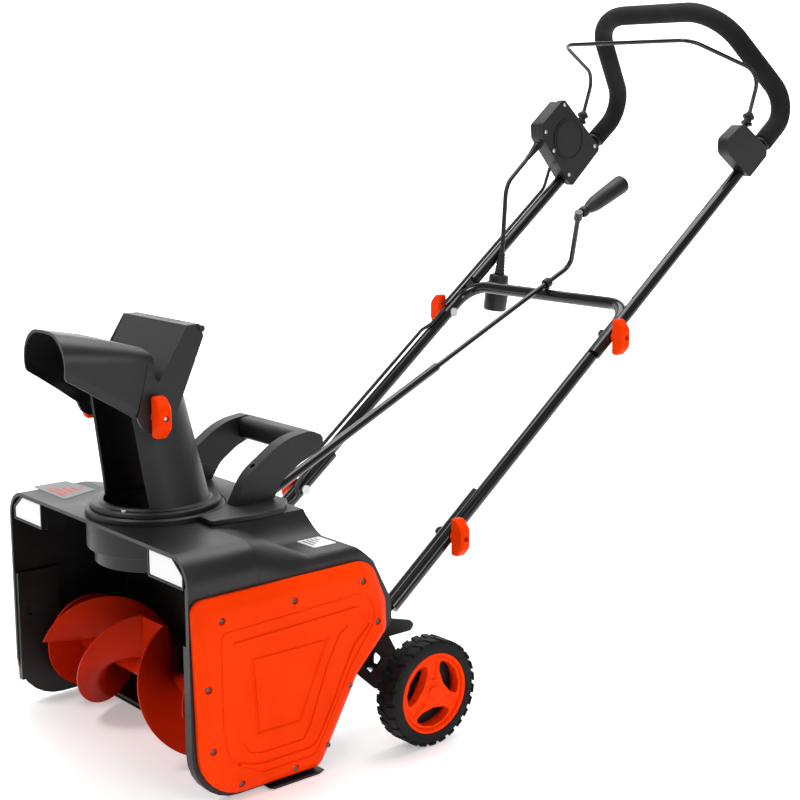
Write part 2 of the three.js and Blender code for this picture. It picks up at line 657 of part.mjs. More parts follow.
const LOWER_END = [112, 152];
const lowerTube = cut(
  tube([sPoint(LOWER_X, LOWER_TOP_S), [...sPoint(LOWER_X, -170), 30], [LOWER_X, 99, 100]], TUBE_R, 12, 4),
  band(MIDDLE_END_S - 4, LOWER_TOP_S + 10, lapLow - GAP / 2, 230),
  knobHoles,
);
add('lower_tube_left', lowerTube, 'tube');
add('lower_tube_right', mirrorX(lowerTube), 'tube');

// The upper loop leaves the handle line, turns forward and closes over the top.
const LOOP_TURN = sPoint(UPPER_X, 993.3);
const LOOP_TOP = [134, 892, 1041];
const flip = ([x, ...rest]) => [-x, ...rest];
const upperHalf = [sPoint(UPPER_X, JOINT_HIGH_S - 43), [...LOOP_TURN, 50], [...LOOP_TOP, 85]];
const upperPath = [...upperHalf, ...upperHalf.map(flip).reverse()];
const lapBand = (x0, x1) => band(JOINT_HIGH_S - 60, CROSSBAR_S + 12, x0, x1);
add('upper_handle', cut(
  tube(upperPath, TUBE_R, 10, 5),
  lapBand(-lapHigh - GAP / 2, lapHigh + GAP / 2),
  knobHoles,
), 'tube');
const FOAM_START = sPoint(UPPER_X, 898);
const foamHalf = [FOAM_START, [...LOOP_TURN, 50], [...LOOP_TOP, 85]];
const foamPath = [...foamHalf, ...foamHalf.map(flip).reverse()];
const boreHalf = [sPoint(UPPER_X, 872), [...LOOP_TURN, 50], [...LOOP_TOP, 85]];
add('foam_grip', cut(
  tube(foamPath, 16.5, 10, 5),
  tube([...boreHalf, ...boreHalf.map(flip).reverse()], TUBE_R + 1.2, 8, 5),
), 'foam');

// ---- handle hardware ----
const LOW = along(0);
const HIGH = along(JOINT_HIGH_S);
add('lower_knob_left', wingKnob(MIDDLE_X + TUBE_R + 0.6, ...LOW, 5), 'orange');
add('lower_knob_right', mirrorX(wingKnob(MIDDLE_X + TUBE_R + 0.6, ...LOW, 5)), 'orange');
add('upper_knob_left', wingKnob(UPPER_X + TUBE_R + 0.6, ...HIGH, 3), 'orange');
add('upper_knob_right', mirrorX(wingKnob(UPPER_X + TUBE_R + 0.6, ...HIGH, 3)), 'orange');
function carriageBolt(inner, tip, [y, z]) {
  return union(bar([inner - 4, y, z], [inner - 1, y, z], 8, 12), bar([inner - 2, y, z], [tip, y, z], 4, 12));
}
const lowBolt = carriageBolt(LOWER_X - TUBE_R - GAP, MIDDLE_X + 5, LOW);
const highBolt = carriageBolt(MIDDLE_X - TUBE_R - GAP, UPPER_X + 7, HIGH);
add('lower_bolt_left', lowBolt, 'steel');
add('lower_bolt_right', mirrorX(lowBolt), 'steel');
add('upper_bolt_left', highBolt, 'steel');
add('upper_bolt_right', mirrorX(highBolt), 'steel');

// ---- switch box, pivot box and bail ----
const BAIL_PIVOT = [905, 838];
const BAIL_X = 188;
const boxOutline = [[782, -17, 8], [776, 100, 14], [790, 122, 10], [862, 124, 10], [884, -10, 8]];
const tunnel = (x) => bar(sPoint(x, 700), sPoint(x, 960), TUBE_R + 0.9, 12);
const bailRest = [
  [BAIL_X, 906, 840], [BAIL_X, 918, 864, 6], [BAIL_X, 945, 940, 30], [142, 818, 991, 30],
];
const bailWell = (x) => sideways([[892, 826], [918, 826], [934, 884], [884, 884]], x - 5, x + 5);
add('switch_box', cut(
  handleBlock(boxOutline, -208, -177),
  tunnel(-UPPER_X),
  bailWell(-BAIL_X),
  bar([-220, ...along(830, 40)], [-196, ...along(830, 40)], 8.3, 16),
), 'shell');
add('switch_cover', cut(
  handleBlock(boxOutline, -177 + GAP, -172),
  tunnel(-UPPER_X),
), 'dark');
add('lock_button', bar([-213, ...along(830, 40)], [-200, ...along(830, 40)], 8, 16), 'orange');
const pivotOutline = [[824, -12, 6], [801, 60, 18], [816, 77, 12], [862, 72, 16], [888, 0, 8], [880, -12, 6]];
add('pivot_box', cut(
  handleBlock(pivotOutline, 181.5, 206),
  tunnel(UPPER_X),
  bailWell(BAIL_X),
), 'shell');
add('bail', union(
  tube([...bailRest, ...bailRest.map(flip).reverse()], 3.5, 8, 3),
  bar([BAIL_X - 4, ...BAIL_PIVOT], [BAIL_X + 4, ...BAIL_PIVOT], 6, 8),
  bar([-BAIL_X - 4, ...BAIL_PIVOT], [-BAIL_X + 4, ...BAIL_PIVOT], 6, 8),
), 'tube');

// ---- rod guide on the crossbar ----
const GUIDE_D = 656;
const barTop = [0, ...along(CROSSBAR_S)];
const towardRod = new THREE.Vector3(...rodPoint(GUIDE_D)).sub(new THREE.Vector3(...barTop)).normalize();
const aboveBar = (height) => towardRod.clone().multiplyScalar(height).add(new THREE.Vector3(...barTop)).toArray();
add('rod_guide', union(
  ring(rodPoint(GUIDE_D - 5), rodPoint(GUIDE_D + 5), 8.5, 5.6, 12),
  bar(aboveBar(10.4), aboveBar(12.6), 5, 10),
), 'dark');

// ---- wheels ----
add('axle', bar([-AXLE_HALF, WHEEL.y, WHEEL.z], [AXLE_HALF, WHEEL.y, WHEEL.z], 6, 12), 'steel');
function tyre() {
  const profile = [[58.9, 0], [72, 0], [77, 6], [77, 32], [72, 38], [58.9, 38], [58.9, 0]];
  const geometry = new THREE.LatheGeometry(profile.map(([r, h]) => new THREE.Vector2(r, h)), 28);
  geometry.rotateZ(-Math.PI / 2);
  geometry.translate(WHEEL.x0, WHEEL.y, WHEEL.z);
  return toManifold(geometry);
}
function rim() {
  const wheelAt = (x) => [x, WHEEL.y, WHEEL.z];
  const windows = [0, 1, 2].map((i) => {
    const centre = THREE.MathUtils.degToRad(-90 + 120 * i);
    const at = (r, offset) => [WHEEL.y + r * Math.cos(centre + offset), WHEEL.z + r * Math.sin(centre + offset)];
    return sideways(rounded([
      [...at(24, 0), 4], [...at(49, -0.72), 6], [...at(53, -0.3)], [...at(53, 0.3)], [...at(49, 0.72), 6],
    ], 1), WHEEL.x0 - 5, WHEEL.x1 + 5);
  });
  return cut(
    union(
      ring(wheelAt(WHEEL.x0 + 2), wheelAt(WHEEL.x1 - 1), 57.9, 52, 24),
      bar(wheelAt(WHEEL.x0 + 12), wheelAt(WHEEL.x1 - 8), 53, 24),
      bar(wheelAt(WHEEL.x0 + 1), wheelAt(WHEEL.x1 - 3), 17, 14),
    ),
    ...windows,
    bar([200, WHEEL.y, WHEEL.z], [WHEEL.x1 + 2, WHEEL.y, WHEEL.z], 6.1, 12),
  );
}
const cap = ring([WHEEL.x1 - 3 + GAP, WHEEL.y, WHEEL.z], [AXLE_HALF + 2, WHEEL.y, WHEEL.z], 14, 6.3, 20);
const capTop = bar([AXLE_HALF + GAP, WHEEL.y, WHEEL.z], [AXLE_HALF + 2, WHEEL.y, WHEEL.z], 12, 16);
const hubCap = union(cap, capTop);
add('tyre_left', tyre(), 'tyre');
add('tyre_right', mirrorX(tyre()), 'tyre');
add('rim_left', rim(), 'orange');
add('rim_right', mirrorX(rim()), 'orange');
add('hub_cap_left', hubCap, 'orange');
add('hub_cap_right', mirrorX(hubCap), 'orange');

const bracketOutline = rounded([
  [97, 199], [120, 170], [163, 158], [172, 150, 5], [164, 142], [124, 142], [152, 92, 10], [152, 66, 12],
  [126, 62, 12], [98, 70], [52, 112], [57, 149.2], [88, 173], [97, 183],
], 2);
const bracketWindow = rounded([[86, 138, 4], [112, 112, 4], [92, 94, 4], [72, 116, 4]], 2);
const bracket = cut(
  union(
    sideways(bracketOutline, 196.3, 200),
    box(150, 198, 100, 103.5, 104, 168),
    sideways(rounded([[60, 112], [104, 112], [104, 100], [66, 100]]), 150, 198),
  ),
  sideways(bracketWindow, 190, 210),
  bar([190, WHEEL.y, WHEEL.z], [210, WHEEL.y, WHEEL.z], 6.2, 12),
  bar(sPoint(LOWER_X, -120), sPoint(LOWER_X, -240), TUBE_R + GAP, 12),
  tube([[...sPoint(LOWER_X, LOWER_TOP_S)], [...sPoint(LOWER_X, -170), 30], [LOWER_X, 99, 100]], TUBE_R + GAP, 12, 4),
);
add('wheel_bracket_left', bracket, 'dark');
add('wheel_bracket_right', mirrorX(bracket), 'dark');

// ---- cable and cord ----
const cableSide = (s) => [-UPPER_X - 2, ...along(s, 14.5)];
const cableBesideJoint = (s) => [-182, ...along(s, 14.5)];
add('cable_upper', tube([
  [-192, ...along(774, 34)], [...cableSide(740), 30], cableSide(JOINT_HIGH_S + 6),
], 3, 8, 3), 'rubber');
add('cable_lower', tube([
  cableBesideJoint(JOINT_HIGH_S - 6), [...cableBesideJoint(380), 8], [...cableSide(362), 8], [...cableSide(60), 30], [-160, ...along(-12, 22), 14], [-150, 226, 262, 14],
  [-150, 150, 225, 20], [-150, 99, 222],
], 3, 8, 3), 'rubber');

const CORD_EXIT = [-190, ...along(774, 88)];
const RELIEF_END = [-183, 772, 793];
add('cord_relief', bar(CORD_EXIT, RELIEF_END, 7, 10, 4.6), 'rubber');
const CORD_END = [-170, 698, 628];
const cordRoute = [[-182.7, 771, 792.2], [-168, 704, 748, 40], CORD_END];
add('power_cord', tube(cordRoute, 4, 8, 5), 'rubber');
const hang = new THREE.Vector3(-0.096, -0.077, -0.992).normalize();
const below = (drop) => hang.clone().multiplyScalar(drop).add(new THREE.Vector3(...CORD_END)).toArray();
add('power_plug', union(
  bar(below(0.5), below(42), 5, 10, 9),
  bar(below(40), below(54), 17, 14),
  bar(below(53), below(104), 21, 14),
), 'rubber');

group.children.forEach((mesh) => mesh.geometry.translate(0, -MID_LENGTH, 0));

export default group;
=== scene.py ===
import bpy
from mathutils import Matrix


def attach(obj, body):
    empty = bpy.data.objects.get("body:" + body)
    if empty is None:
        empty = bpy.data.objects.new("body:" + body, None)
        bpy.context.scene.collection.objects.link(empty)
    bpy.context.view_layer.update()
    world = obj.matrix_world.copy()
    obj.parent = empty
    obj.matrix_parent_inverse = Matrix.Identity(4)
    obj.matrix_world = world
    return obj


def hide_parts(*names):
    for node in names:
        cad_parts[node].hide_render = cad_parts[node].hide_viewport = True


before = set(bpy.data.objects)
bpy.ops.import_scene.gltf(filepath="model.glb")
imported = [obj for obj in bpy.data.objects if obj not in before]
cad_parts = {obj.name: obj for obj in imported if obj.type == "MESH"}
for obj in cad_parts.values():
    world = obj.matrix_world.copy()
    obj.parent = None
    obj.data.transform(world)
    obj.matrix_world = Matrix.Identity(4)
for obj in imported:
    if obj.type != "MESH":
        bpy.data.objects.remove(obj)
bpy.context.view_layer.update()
import math

import bmesh
import bpy
from mathutils import Quaternion, Vector

# Shapes are drawn in millimetres in the machine's own datum, and MID_LENGTH puts them in the frame.
# +X is the operator's left, +Y is behind the machine, +Z is up.
MID_LENGTH = 365.8


def at(x, y, z):
    return Vector((x / 1000, (y - MID_LENGTH) / 1000, z / 1000))


# ---- camera ----
camera = bpy.data.objects.new("camera", bpy.data.cameras.new("camera"))
bpy.context.scene.collection.objects.link(camera)
bpy.context.scene.camera = camera
camera.data.lens = 69.775
camera.data.clip_end = 50
turn, pitch = math.radians(49.61), math.radians(10.82)
heading = Vector((-math.sin(turn) * math.cos(pitch), math.cos(turn) * math.cos(pitch), -math.sin(pitch)))
camera.location = at(1816.87, -1231.41, 888.73)
camera.rotation_euler = heading.to_track_quat("-Z", "Y").to_euler()


# ---- materials ----
def material(name, colour, roughness, metallic=0.0, grain=900, bump=0.15, vary=0.25, shine=0.5, dust=0.0):
    """Surface with cloudy colour and roughness and a fine grain; dust pales it near the ground."""
    mat = bpy.data.materials.new(name)
    mat.use_nodes = True
    nodes, links = mat.node_tree.nodes, mat.node_tree.links
    shader = nodes["Principled BSDF"]
    shader.inputs["Metallic"].default_value = metallic
    shader.inputs["Specular IOR Level"].default_value = shine
    place = nodes.new("ShaderNodeTexCoord")

    def noise(scale, detail):
        node = nodes.new("ShaderNodeTexNoise")
        node.inputs["Scale"].default_value = scale
        node.inputs["Detail"].default_value = detail
        links.new(place.outputs["Object"], node.inputs["Vector"])
        return node

    def spread(source, low, high):
        node = nodes.new("ShaderNodeMapRange")
        node.inputs["From Min"].default_value = 0.3
        node.inputs["From Max"].default_value = 0.7
        node.inputs["To Min"].default_value = low
        node.inputs["To Max"].default_value = high
        links.new(source, node.inputs["Value"])
        return node.outputs["Result"]

    cloud = noise(9, 5)
    fine = noise(grain, 2)
    rough = spread(cloud.outputs["Fac"], roughness * (1 - vary), min(1, roughness * (1 + vary)))
    links.new(rough, shader.inputs["Roughness"])
    mix = nodes.new("ShaderNodeMix")
    mix.data_type = "RGBA"
    mix.inputs["A"].default_value = (*[c * 0.86 for c in colour], 1)
    mix.inputs["B"].default_value = (*[min(1, c * 1.1 + 0.001) for c in colour], 1)
    links.new(spread(cloud.outputs["Fac"], 0, 1), mix.inputs["Factor"])
    surface = mix.outputs["Result"]
    if dust:
        height = nodes.new("ShaderNodeSeparateXYZ")
        links.new(place.outputs["Object"], height.inputs["Vector"])
        low = nodes.new("ShaderNodeMapRange")
        low.inputs["From Min"].default_value = 0.0
        low.inputs["From Max"].default_value = 0.12
        low.inputs["To Min"].default_value = dust
        low.inputs["To Max"].default_value = 0
        links.new(height.outputs["Z"], low.inputs["Value"])
        dusty = nodes.new("ShaderNodeMix")
        dusty.data_type = "RGBA"
        dusty.inputs["B"].default_value = (0.32, 0.3, 0.28, 1)
        links.new(surface, dusty.inputs["A"])
        links.new(low.outputs["Result"], dusty.inputs["Factor"])
        surface = dusty.outputs["Result"]
    links.new(surface, shader.inputs["Base Color"])
    bumps = nodes.new("ShaderNodeBump")
    bumps.inputs["Strength"].default_value = bump
    bumps.inputs["Distance"].default_value = 0.0004
    links.new(fine.outputs["Fac"], bumps.inputs["Height"])
    links.new(bumps.outputs["Normal"], shader.inputs["Normal"])
    return mat


SHELL = material("black_plastic", (0.007, 0.007, 0.0072), 0.4, grain=1400, bump=0.28, shine=0.4)
DARK = material("dark_plastic", (0.006, 0.006, 0.006), 0.45, grain=1200, bump=0.2, shine=0.35)
ORANGE = material("orange_plastic", (0.95, 0.042, 0.0), 0.38, grain=600, bump=0.05, vary=0.12, shine=0.03)
AUGER = material("auger_orange", (0.5, 0.016, 0.0), 0.3, grain=500, bump=0.06, vary=0.15, shine=0.06)
TUBE = material("tube_paint", (0.003, 0.003, 0.003), 0.13, grain=700, bump=0.04, shine=0.5)
STEEL = material("zinc_steel", (0.55, 0.56, 0.58), 0.28, metallic=1.0, grain=900, bump=0.06)
CASE = material("motor_case", (0.12, 0.125, 0.13), 0.4, metallic=0.7, grain=600, bump=0.1)
RUBBER = material("soft_rubber", (0.006, 0.006, 0.006), 0.45, grain=900, bump=0.12, shine=0.4)
TYRE = material("tyre_rubber", (0.004, 0.004, 0.004), 0.7, grain=700, bump=0.3, dust=0.006, shine=0.22)
LENS = material("lamp_lens", (0.35, 0.35, 0.35), 0.3, grain=160, bump=0.35, vary=0.1)
# The lens's white glow is painted reflection: the headlight is not lit, and the emission stands in for the
# light the lens reflects.
lens_glint_shader = LENS.node_tree.nodes["Principled BSDF"]
lens_glint_shader.inputs["Emission Color"].default_value = (1, 1, 1, 1)
lens_glint_shader.inputs["Emission Strength"].default_value = 0.5
FOAM = material("foam", (0.006, 0.006, 0.006), 0.85, grain=1500, bump=0.6, shine=0.25)
LABEL = material("label", (0.75, 0.76, 0.78), 0.3, grain=300, bump=0.02)
MARK = material("mark_red", (0.55, 0.05, 0.02), 0.5, grain=300, bump=0.02)


# ---- outlines and paths ----
def rounded(corners, steps=7):
    """Outline whose corners (a, b, radius) are rounded; a corner without a radius stays sharp."""
    result = []
    for i, corner in enumerate(corners):
        here = Vector(corner[:2])
        radius = corner[2] if len(corner) > 2 else 0
        if radius == 0:
            result.append((here.x, here.y))
            continue
        before = (Vector(corners[i - 1][:2]) - here).normalized()
        after = (Vector(corners[(i + 1) % len(corners)][:2]) - here).normalized()
        half = math.acos(max(-1, min(1, before.dot(after)))) / 2
        centre = here + (before + after).normalized() * (radius / math.sin(half))
        start = here + before * (radius / math.tan(half)) - centre
        sense = math.copysign(1, before.x * after.y - before.y * after.x)
        for k in range(steps + 1):
            angle = -sense * (math.pi - 2 * half) * k / steps
            spoke = (
                start.x * math.cos(angle) - start.y * math.sin(angle),
                start.x * math.sin(angle) + start.y * math.cos(angle),
            )
            result.append((centre.x + spoke[0], centre.y + spoke[1]))
    return result


def inset(outline, distance):
    """Outline moved inward by a distance, or outward if it's negative."""
    count = len(outline)
    area = sum(outline[i][0] * outline[(i + 1) % count][1] - outline[(i + 1) % count][0] * outline[i][1]
               for i in range(count))
    sense = math.copysign(1, area)
    result = []
    for i, (a, b) in enumerate(outline):
        one = (Vector((a, b)) - Vector(outline[i - 1])).normalized()
        two = (Vector(outline[(i + 1) % count]) - Vector((a, b))).normalized()
        inward = Vector((-(one.y + two.y), one.x + two.x)).normalized() * sense
        lean = max(0.35, math.sqrt(max(0, (1 + one.dot(two)) / 2)))
        result.append((a + inward.x * distance / lean, b + inward.y * distance / lean))
    return result


def bent(corners, arc_steps=10):
    """Points of a path whose corners (x, y, z, bend radius) are rounded."""
    points = [Vector(c[:3]) for c in corners]
    result = []
    for i, corner in enumerate(corners):
        radius = corner[3] if len(corner) > 3 else 0
        if radius == 0 or i in (0, len(corners) - 1):
            result.append(points[i])
            continue
        back = (points[i - 1] - points[i]).normalized()
        ahead = (points[i + 1] - points[i]).normalized()
        half = math.acos(max(-1, min(1, back.dot(ahead)))) / 2
        centre = points[i] + (back + ahead).normalized() * (radius / math.sin(half))
        start = points[i] + back * (radius / math.tan(half)) - centre
        axis = ahead.cross(back).normalized()
        for k in range(arc_steps + 1):
            angle = (math.pi - 2 * half) * k / arc_steps
            result.append(Quaternion(axis, angle) @ start + centre)
    return result


# The handle leans at SLOPE, and its lower knobs are at JOINT_LOW (y, z).
SLOPE = math.radians(38.3)
JOINT_LOW = (251.5, 266.6)


def along(s, up=0.0):
    """(y, z) at a distance along the handle and a height square to it."""
    return (JOINT_LOW[0] + s * math.cos(SLOPE) - up * math.sin(SLOPE),
            JOINT_LOW[1] + s * math.sin(SLOPE) + up * math.cos(SLOPE))


def on_handle(x, s, up=0.0):
    return (x, *along(s, up))


# ---- solids ----
def shown(name, data):
    obj = bpy.data.objects.new(name, data)
    bpy.context.scene.collection.objects.link(obj)
    return obj


def solid(points, faces):
    mesh = bpy.data.meshes.new("solid")
    mesh.from_pydata([at(*p) for p in points], [], faces)
    work = bmesh.new()
    work.from_mesh(mesh)
    bmesh.ops.recalc_face_normals(work, faces=work.faces)
    work.to_mesh(mesh)
    work.free()
    return shown("solid", mesh)


def skin(rings, closed=False):
    """Surface through rings of points, with flat ends unless the rings close on themselves."""
    count = len(rings[0])
    points = [p for ring_points in rings for p in ring_points]
    faces = []
    spans = len(rings) if closed else len(rings) - 1
    for k in range(spans):
        a, b = k * count, ((k + 1) % len(rings)) * count
        for i in range(count):
            j = (i + 1) % count
            faces.append((a + i, a + j, b + j, b + i))
    if not closed:
        faces.append(tuple(range(count)))
        faces.append(tuple((len(rings) - 1) * count + i for i in range(count)))
    return solid(points, faces)


def across(outline, x0, x1):
    """Block from an outline of (y, z) points."""
    return skin([[(x, y, z) for y, z in outline] for x in (x0, x1)])


def upward(outline, z0, z1):
    """Block from an outline of (x, y) points."""
    return skin([[(x, y, z) for x, y in outline] for z in (z0, z1)])


def backward(outline, y0, y1):
    """Block from an outline of (x, z) points."""
    return skin([[(x, y, z) for x, z in outline] for y in (y0, y1)])


def box(x0, x1, y0, y1, z0, z1):
    return across([(y0, z0), (y1, z0), (y1, z1), (y0, z1)], x0, x1)


def round_ring(centre, direction, radius, sides):
    axis = Vector(direction).normalized()
    side = axis.orthogonal().normalized()
    other = axis.cross(side)
    result = []
    for i in range(sides):
        angle = 2 * math.pi * i / sides
        result.append(Vector(centre) + (side * math.cos(angle) + other * math.sin(angle)) * radius)
    return result


def turned(start, end, profile, sides=32):
    """Round solid on the axis from start to end; profile is (distance along in mm, radius)."""
    a, b = Vector(start), Vector(end)
    axis = (b - a).normalized()
    return skin([round_ring(a + axis * d, axis, r, sides) for d, r in profile])


def bar(start, end, radius, sides=32):
    return turned(start, end, [(0, radius), ((Vector(end) - Vector(start)).length, radius)], sides)


def tube(path, radius, sides=20):
    """Round rod along a path, without twist."""
    points = [Vector(p) for p in path]
    rings = []
    tangent = (points[1] - points[0]).normalized()
    side = tangent.orthogonal().normalized()
    for i, point in enumerate(points):
        ahead = points[min(i + 1, len(points) - 1)]
        behind = points[max(i - 1, 0)]
        fresh = (ahead - behind).normalized()
        side = tangent.rotation_difference(fresh) @ side
        tangent = fresh
        side = (side - tangent * side.dot(tangent)).normalized()
        other = tangent.cross(side)
        ring = []
        for k in range(sides):
            angle = 2 * math.pi * k / sides
            ring.append(point + (side * math.cos(angle) + other * math.sin(angle)) * radius)
        rings.append(ring)
    return skin(rings)


def combine(operation, base, tools):
    """Joins or cuts the base with each tool in turn, and removes the tools."""
    for tool in tools:
        step = base.modifiers.new("step", "BOOLEAN")
        step.operation = operation
        step.solver = "MANIFOLD"
        step.object = tool
    bpy.context.view_layer.update()
    done = base.evaluated_get(bpy.context.evaluated_depsgraph_get())
    mesh = bpy.data.meshes.new_from_object(done)
    base.modifiers.clear()
    base.data = mesh
    for tool in tools:
        bpy.data.objects.remove(tool)
    return base


def union(base, *tools):
    return combine("UNION", base, tools)


def cut(base, *tools):
    return combine("DIFFERENCE", base, tools)


def common(base, *tools):
    return combine("INTERSECT", base, tools)


def gather(objs):
    """One object that holds the separate shells of several."""
    mesh = bpy.data.meshes.new("gathered")
    work = bmesh.new()
    for obj in objs:
        work.from_mesh(obj.data)
    work.to_mesh(mesh)
    work.free()
    obj = shown("gathered", mesh)
    for old in objs:
        bpy.data.objects.remove(old)
    return obj


def mirrored(obj):
    """Twin on the other side of the machine."""
    mesh = obj.data.copy()
    work = bmesh.new()
    work.from_mesh(mesh)
    for vertex in work.verts:
        vertex.co.x = -vertex.co.x
    bmesh.ops.reverse_faces(work, faces=work.faces)
    work.to_mesh(mesh)
    work.free()
    return shown("twin", mesh)


def piece(name, obj, look, body, stands_for=(), bevel=1.0, segments=2, smooth=35):
    """Names, paints and softens a finished shape, and fixes it to its body."""
    obj.name = name
    mesh = obj.data
    mesh.name = name
    work = bmesh.new()
    work.from_mesh(mesh)
    bmesh.ops.remove_doubles(work, verts=work.verts, dist=1e-6)
    bmesh.ops.dissolve_limit(work, angle_limit=math.radians(0.6), verts=work.verts, edges=work.edges)
    work.to_mesh(mesh)
    work.free()
    mesh.materials.clear()
    mesh.materials.append(look)
    mesh.polygons.foreach_set("use_smooth", [True] * len(mesh.polygons))
    mesh.set_sharp_from_angle(angle=math.radians(smooth))
    if bevel:
        soften = obj.modifiers.new("edges", "BEVEL")
        soften.width = bevel / 1000
        soften.segments = segments
        soften.limit_method = "ANGLE"
        soften.angle_limit = math.radians(smooth)
        soften.harden_normals = True
        soften.use_clamp_overlap = True
    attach(obj, body)
    if stands_for:
        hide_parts(*stands_for)
    return obj


def paint_cad(look, *names):
    """Paints CAD solids that are seen as they are."""
    for name in names:
        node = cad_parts[name]
        node.data.materials.clear()
        node.data.materials.append(look)


# ---- free cord and plug ----
CORD_EXIT = on_handle(-190, 774, 88)
RELIEF_END = (-183, 772, 793)
CORD_START = (-182.7, 771, 792.2)
CORD_END = (-170, 698, 628)
cord_line = bent([CORD_START, (-168, 704, 748, 40), CORD_END], 14)
cord = piece("cord", tube(cord_line, 4, 16), RUBBER, "upper_frame", ["power_cord"], bevel=0)
hang = Vector((-0.096, -0.077, -0.992)).normalized()


def below(drop):
    return Vector(CORD_END) + hang * drop


ribs = [(0.5, 5)]
for step in range(7):
    start, swell = 5.4 * step, 0.5 * step
    ribs += [(3 + start, 6.2 + swell), (5.4 + start, 6.4 + swell), (5.8 + start, 5.2 + swell)]
plug = piece("plug", gather([
    turned(below(0), below(1), ribs + [(42, 9)], 28),
    turned(below(0), below(1), [(38, 8), (40, 16), (43, 17.5), (53, 17.5), (55, 16)], 36),
    turned(below(0), below(1), [(52, 15), (54, 20), (57, 21.3), (100, 20.6), (103, 19.6), (104, 18)], 36),
]), RUBBER, "upper_frame", ["power_plug"], bevel=0.5)
relief_run = Vector(RELIEF_END) - Vector(CORD_EXIT)
relief_profile = [(0, 8.5), (3, 8.5), (4, 7.4)]
for step in range(6):
    start, taper = 6 + 5 * step, 0.45 * step
    relief_profile += [(start, 7.2 - taper), (start + 2.6, 7.0 - taper), (start + 3, 5.6 - 0.25 * step)]
relief_profile.append((relief_run.length, 4.6))
piece("strain_relief", turned(CORD_EXIT, RELIEF_END, relief_profile, 24), RUBBER,
      "upper_frame", ["cord_relief"], 0.3)

# ---- auger housing ----
# Half width and wall thickness, front edge, roof height, and the seam where the motor housing starts.
HALF = 240
WALL = 5
FRONT = -236
ROOF = 334
SEAM = -128
# The auger's axis (y, z), and the upright chute axis.
AXIS = (-138, 93)
CHUTE_Y = -133
CHUTE_HOLE_R = 79.4
wall_outline = rounded([
    (FRONT, ROOF - 38), (FRONT, 4, 70), (-40, 4, 8), (26, 122, 20), (77, 174, 14), (75, 220, 30),
    (50, 277, 34), (SEAM, 277), (SEAM, ROOF - 38),
])
cover_outline = rounded([
    (FRONT + 1, 279, 16), (FRONT + 9, 9, 68), (-37, 9, 16), (28, 124, 20), (80, 176, 18), (78, 220, 30),
    (52, 281, 34),
], 8)
shoulder = rounded([(-HALF, 270), (-HALF, ROOF, 38), (HALF, ROOF, 38), (HALF, 270)], 10)
INNER = HALF - WALL
shoulder_inside = rounded([
    (-INNER, 260), (-INNER, ROOF - WALL, 34), (INNER, ROOF - WALL, 34), (INNER, 260),
], 10)
roof = cut(
    backward(shoulder, FRONT, SEAM),
    backward(shoulder_inside, FRONT - 1, SEAM + 1),
    box(-250, 250, -250, 0, 200, 276),
)
near_wall = across(wall_outline, 226, HALF)
near_wall = cut(near_wall, box(220, 233, -240, -150, 219, 300))
far_wall = across(wall_outline, -HALF, -INNER)
boss = box(-HALF + 1, -228, FRONT + 2, -166, 40, 206)
boss_slot = across(rounded([(-222, 138, 4), (-212, 138, 4), (-212, 156, 4), (-222, 156, 4)]), -232, -220)
back_curve = []
for k in range(13):
    angle = math.radians(-72 + 6 * k)
    back_curve.append((AXIS[0] + 88 * math.cos(angle), AXIS[1] + 88 * math.sin(angle)))
back_wall = across(back_curve + [(-50, 293), (-45, 293), (-45, 40), (-84, 4), (-111, 4)], -HALF + 1, 227)


def chute_hole(radius=CHUTE_HOLE_R):
    return bar((0, CHUTE_Y, 250), (0, CHUTE_Y, 350), radius, 64)


def collar(outer, z0, z1):
    """Half ring under the roof, in front of the seam."""
    ring = bar((0, CHUTE_Y, z0), (0, CHUTE_Y, z1), outer, 64)
    ring = cut(ring, bar((0, CHUTE_Y, z0 - 5), (0, CHUTE_Y, z1 + 5), CHUTE_HOLE_R, 64))
    return cut(ring, box(-120, 120, SEAM, 0, 200, 400))


lamp_outline = [(143, 290), (230, 290), (230, 312), (205, 331), (143, 331)]


def lamp_block(side):
    return backward([(side * x, z) for x, z in lamp_outline], -226, -196)


front = union(roof, near_wall, far_wall, cut(boss, boss_slot), back_wall)
for side in (1, -1):
    front = union(front, common(lamp_block(side), backward(inset(shoulder, 1), -300, 0)))
front = cut(front, chute_hole())
piece("auger_housing_shell", front, SHELL, "chassis", ["auger_housing"], bevel=1.2)
piece("inner_collar_upper", collar(96, 288, 328), SHELL, "chassis", bevel=1.2)
piece("inner_collar_lower", collar(86, 267, 288), SHELL, "chassis", bevel=1.2)

lens = [(147, 294), (225, 294), (225, 309), (202, 327), (147, 327)]
for side, tag in ((1, "left"), (-1, "right")):
    body = backward([(side * x, z) for x, z in lens], -234, -226.5)
    piece(f"lamp_{tag}", body, LENS, "chassis", [f"headlight_{tag}"], bevel=1.5, segments=3)
    frame_ring = cut(
        backward([(side * x, z) for x, z in inset(lens, -3.2)], -235, -226),
        backward([(side * x, z) for x, z in inset(lens, -0.2)], -240, -220),
    )
    piece(f"lamp_frame_{tag}", frame_ring, DARK, "chassis", bevel=0.6)

# ---- motor housing ----
REAR_START = SEAM + 0.3


def rear_loft(shrink):
    """The shoulder that falls from the roof to the shelf, as sections of y, top and corner radius."""
    sections = [
        (REAR_START, 334, 38), (-110, 331.8, 42), (-92, 327, 46), (-66, 313, 34), (-44, 301, 14),
        (120, 301, 14),
    ]
    rings = []
    for y, top, corner in sections:
        outline = rounded([(-HALF, 0), (-HALF, top, corner), (HALF, top, corner), (HALF, 0)], 8)
        rings.append([(x, y, z) for x, z in inset(outline, shrink)])
    return skin(rings)


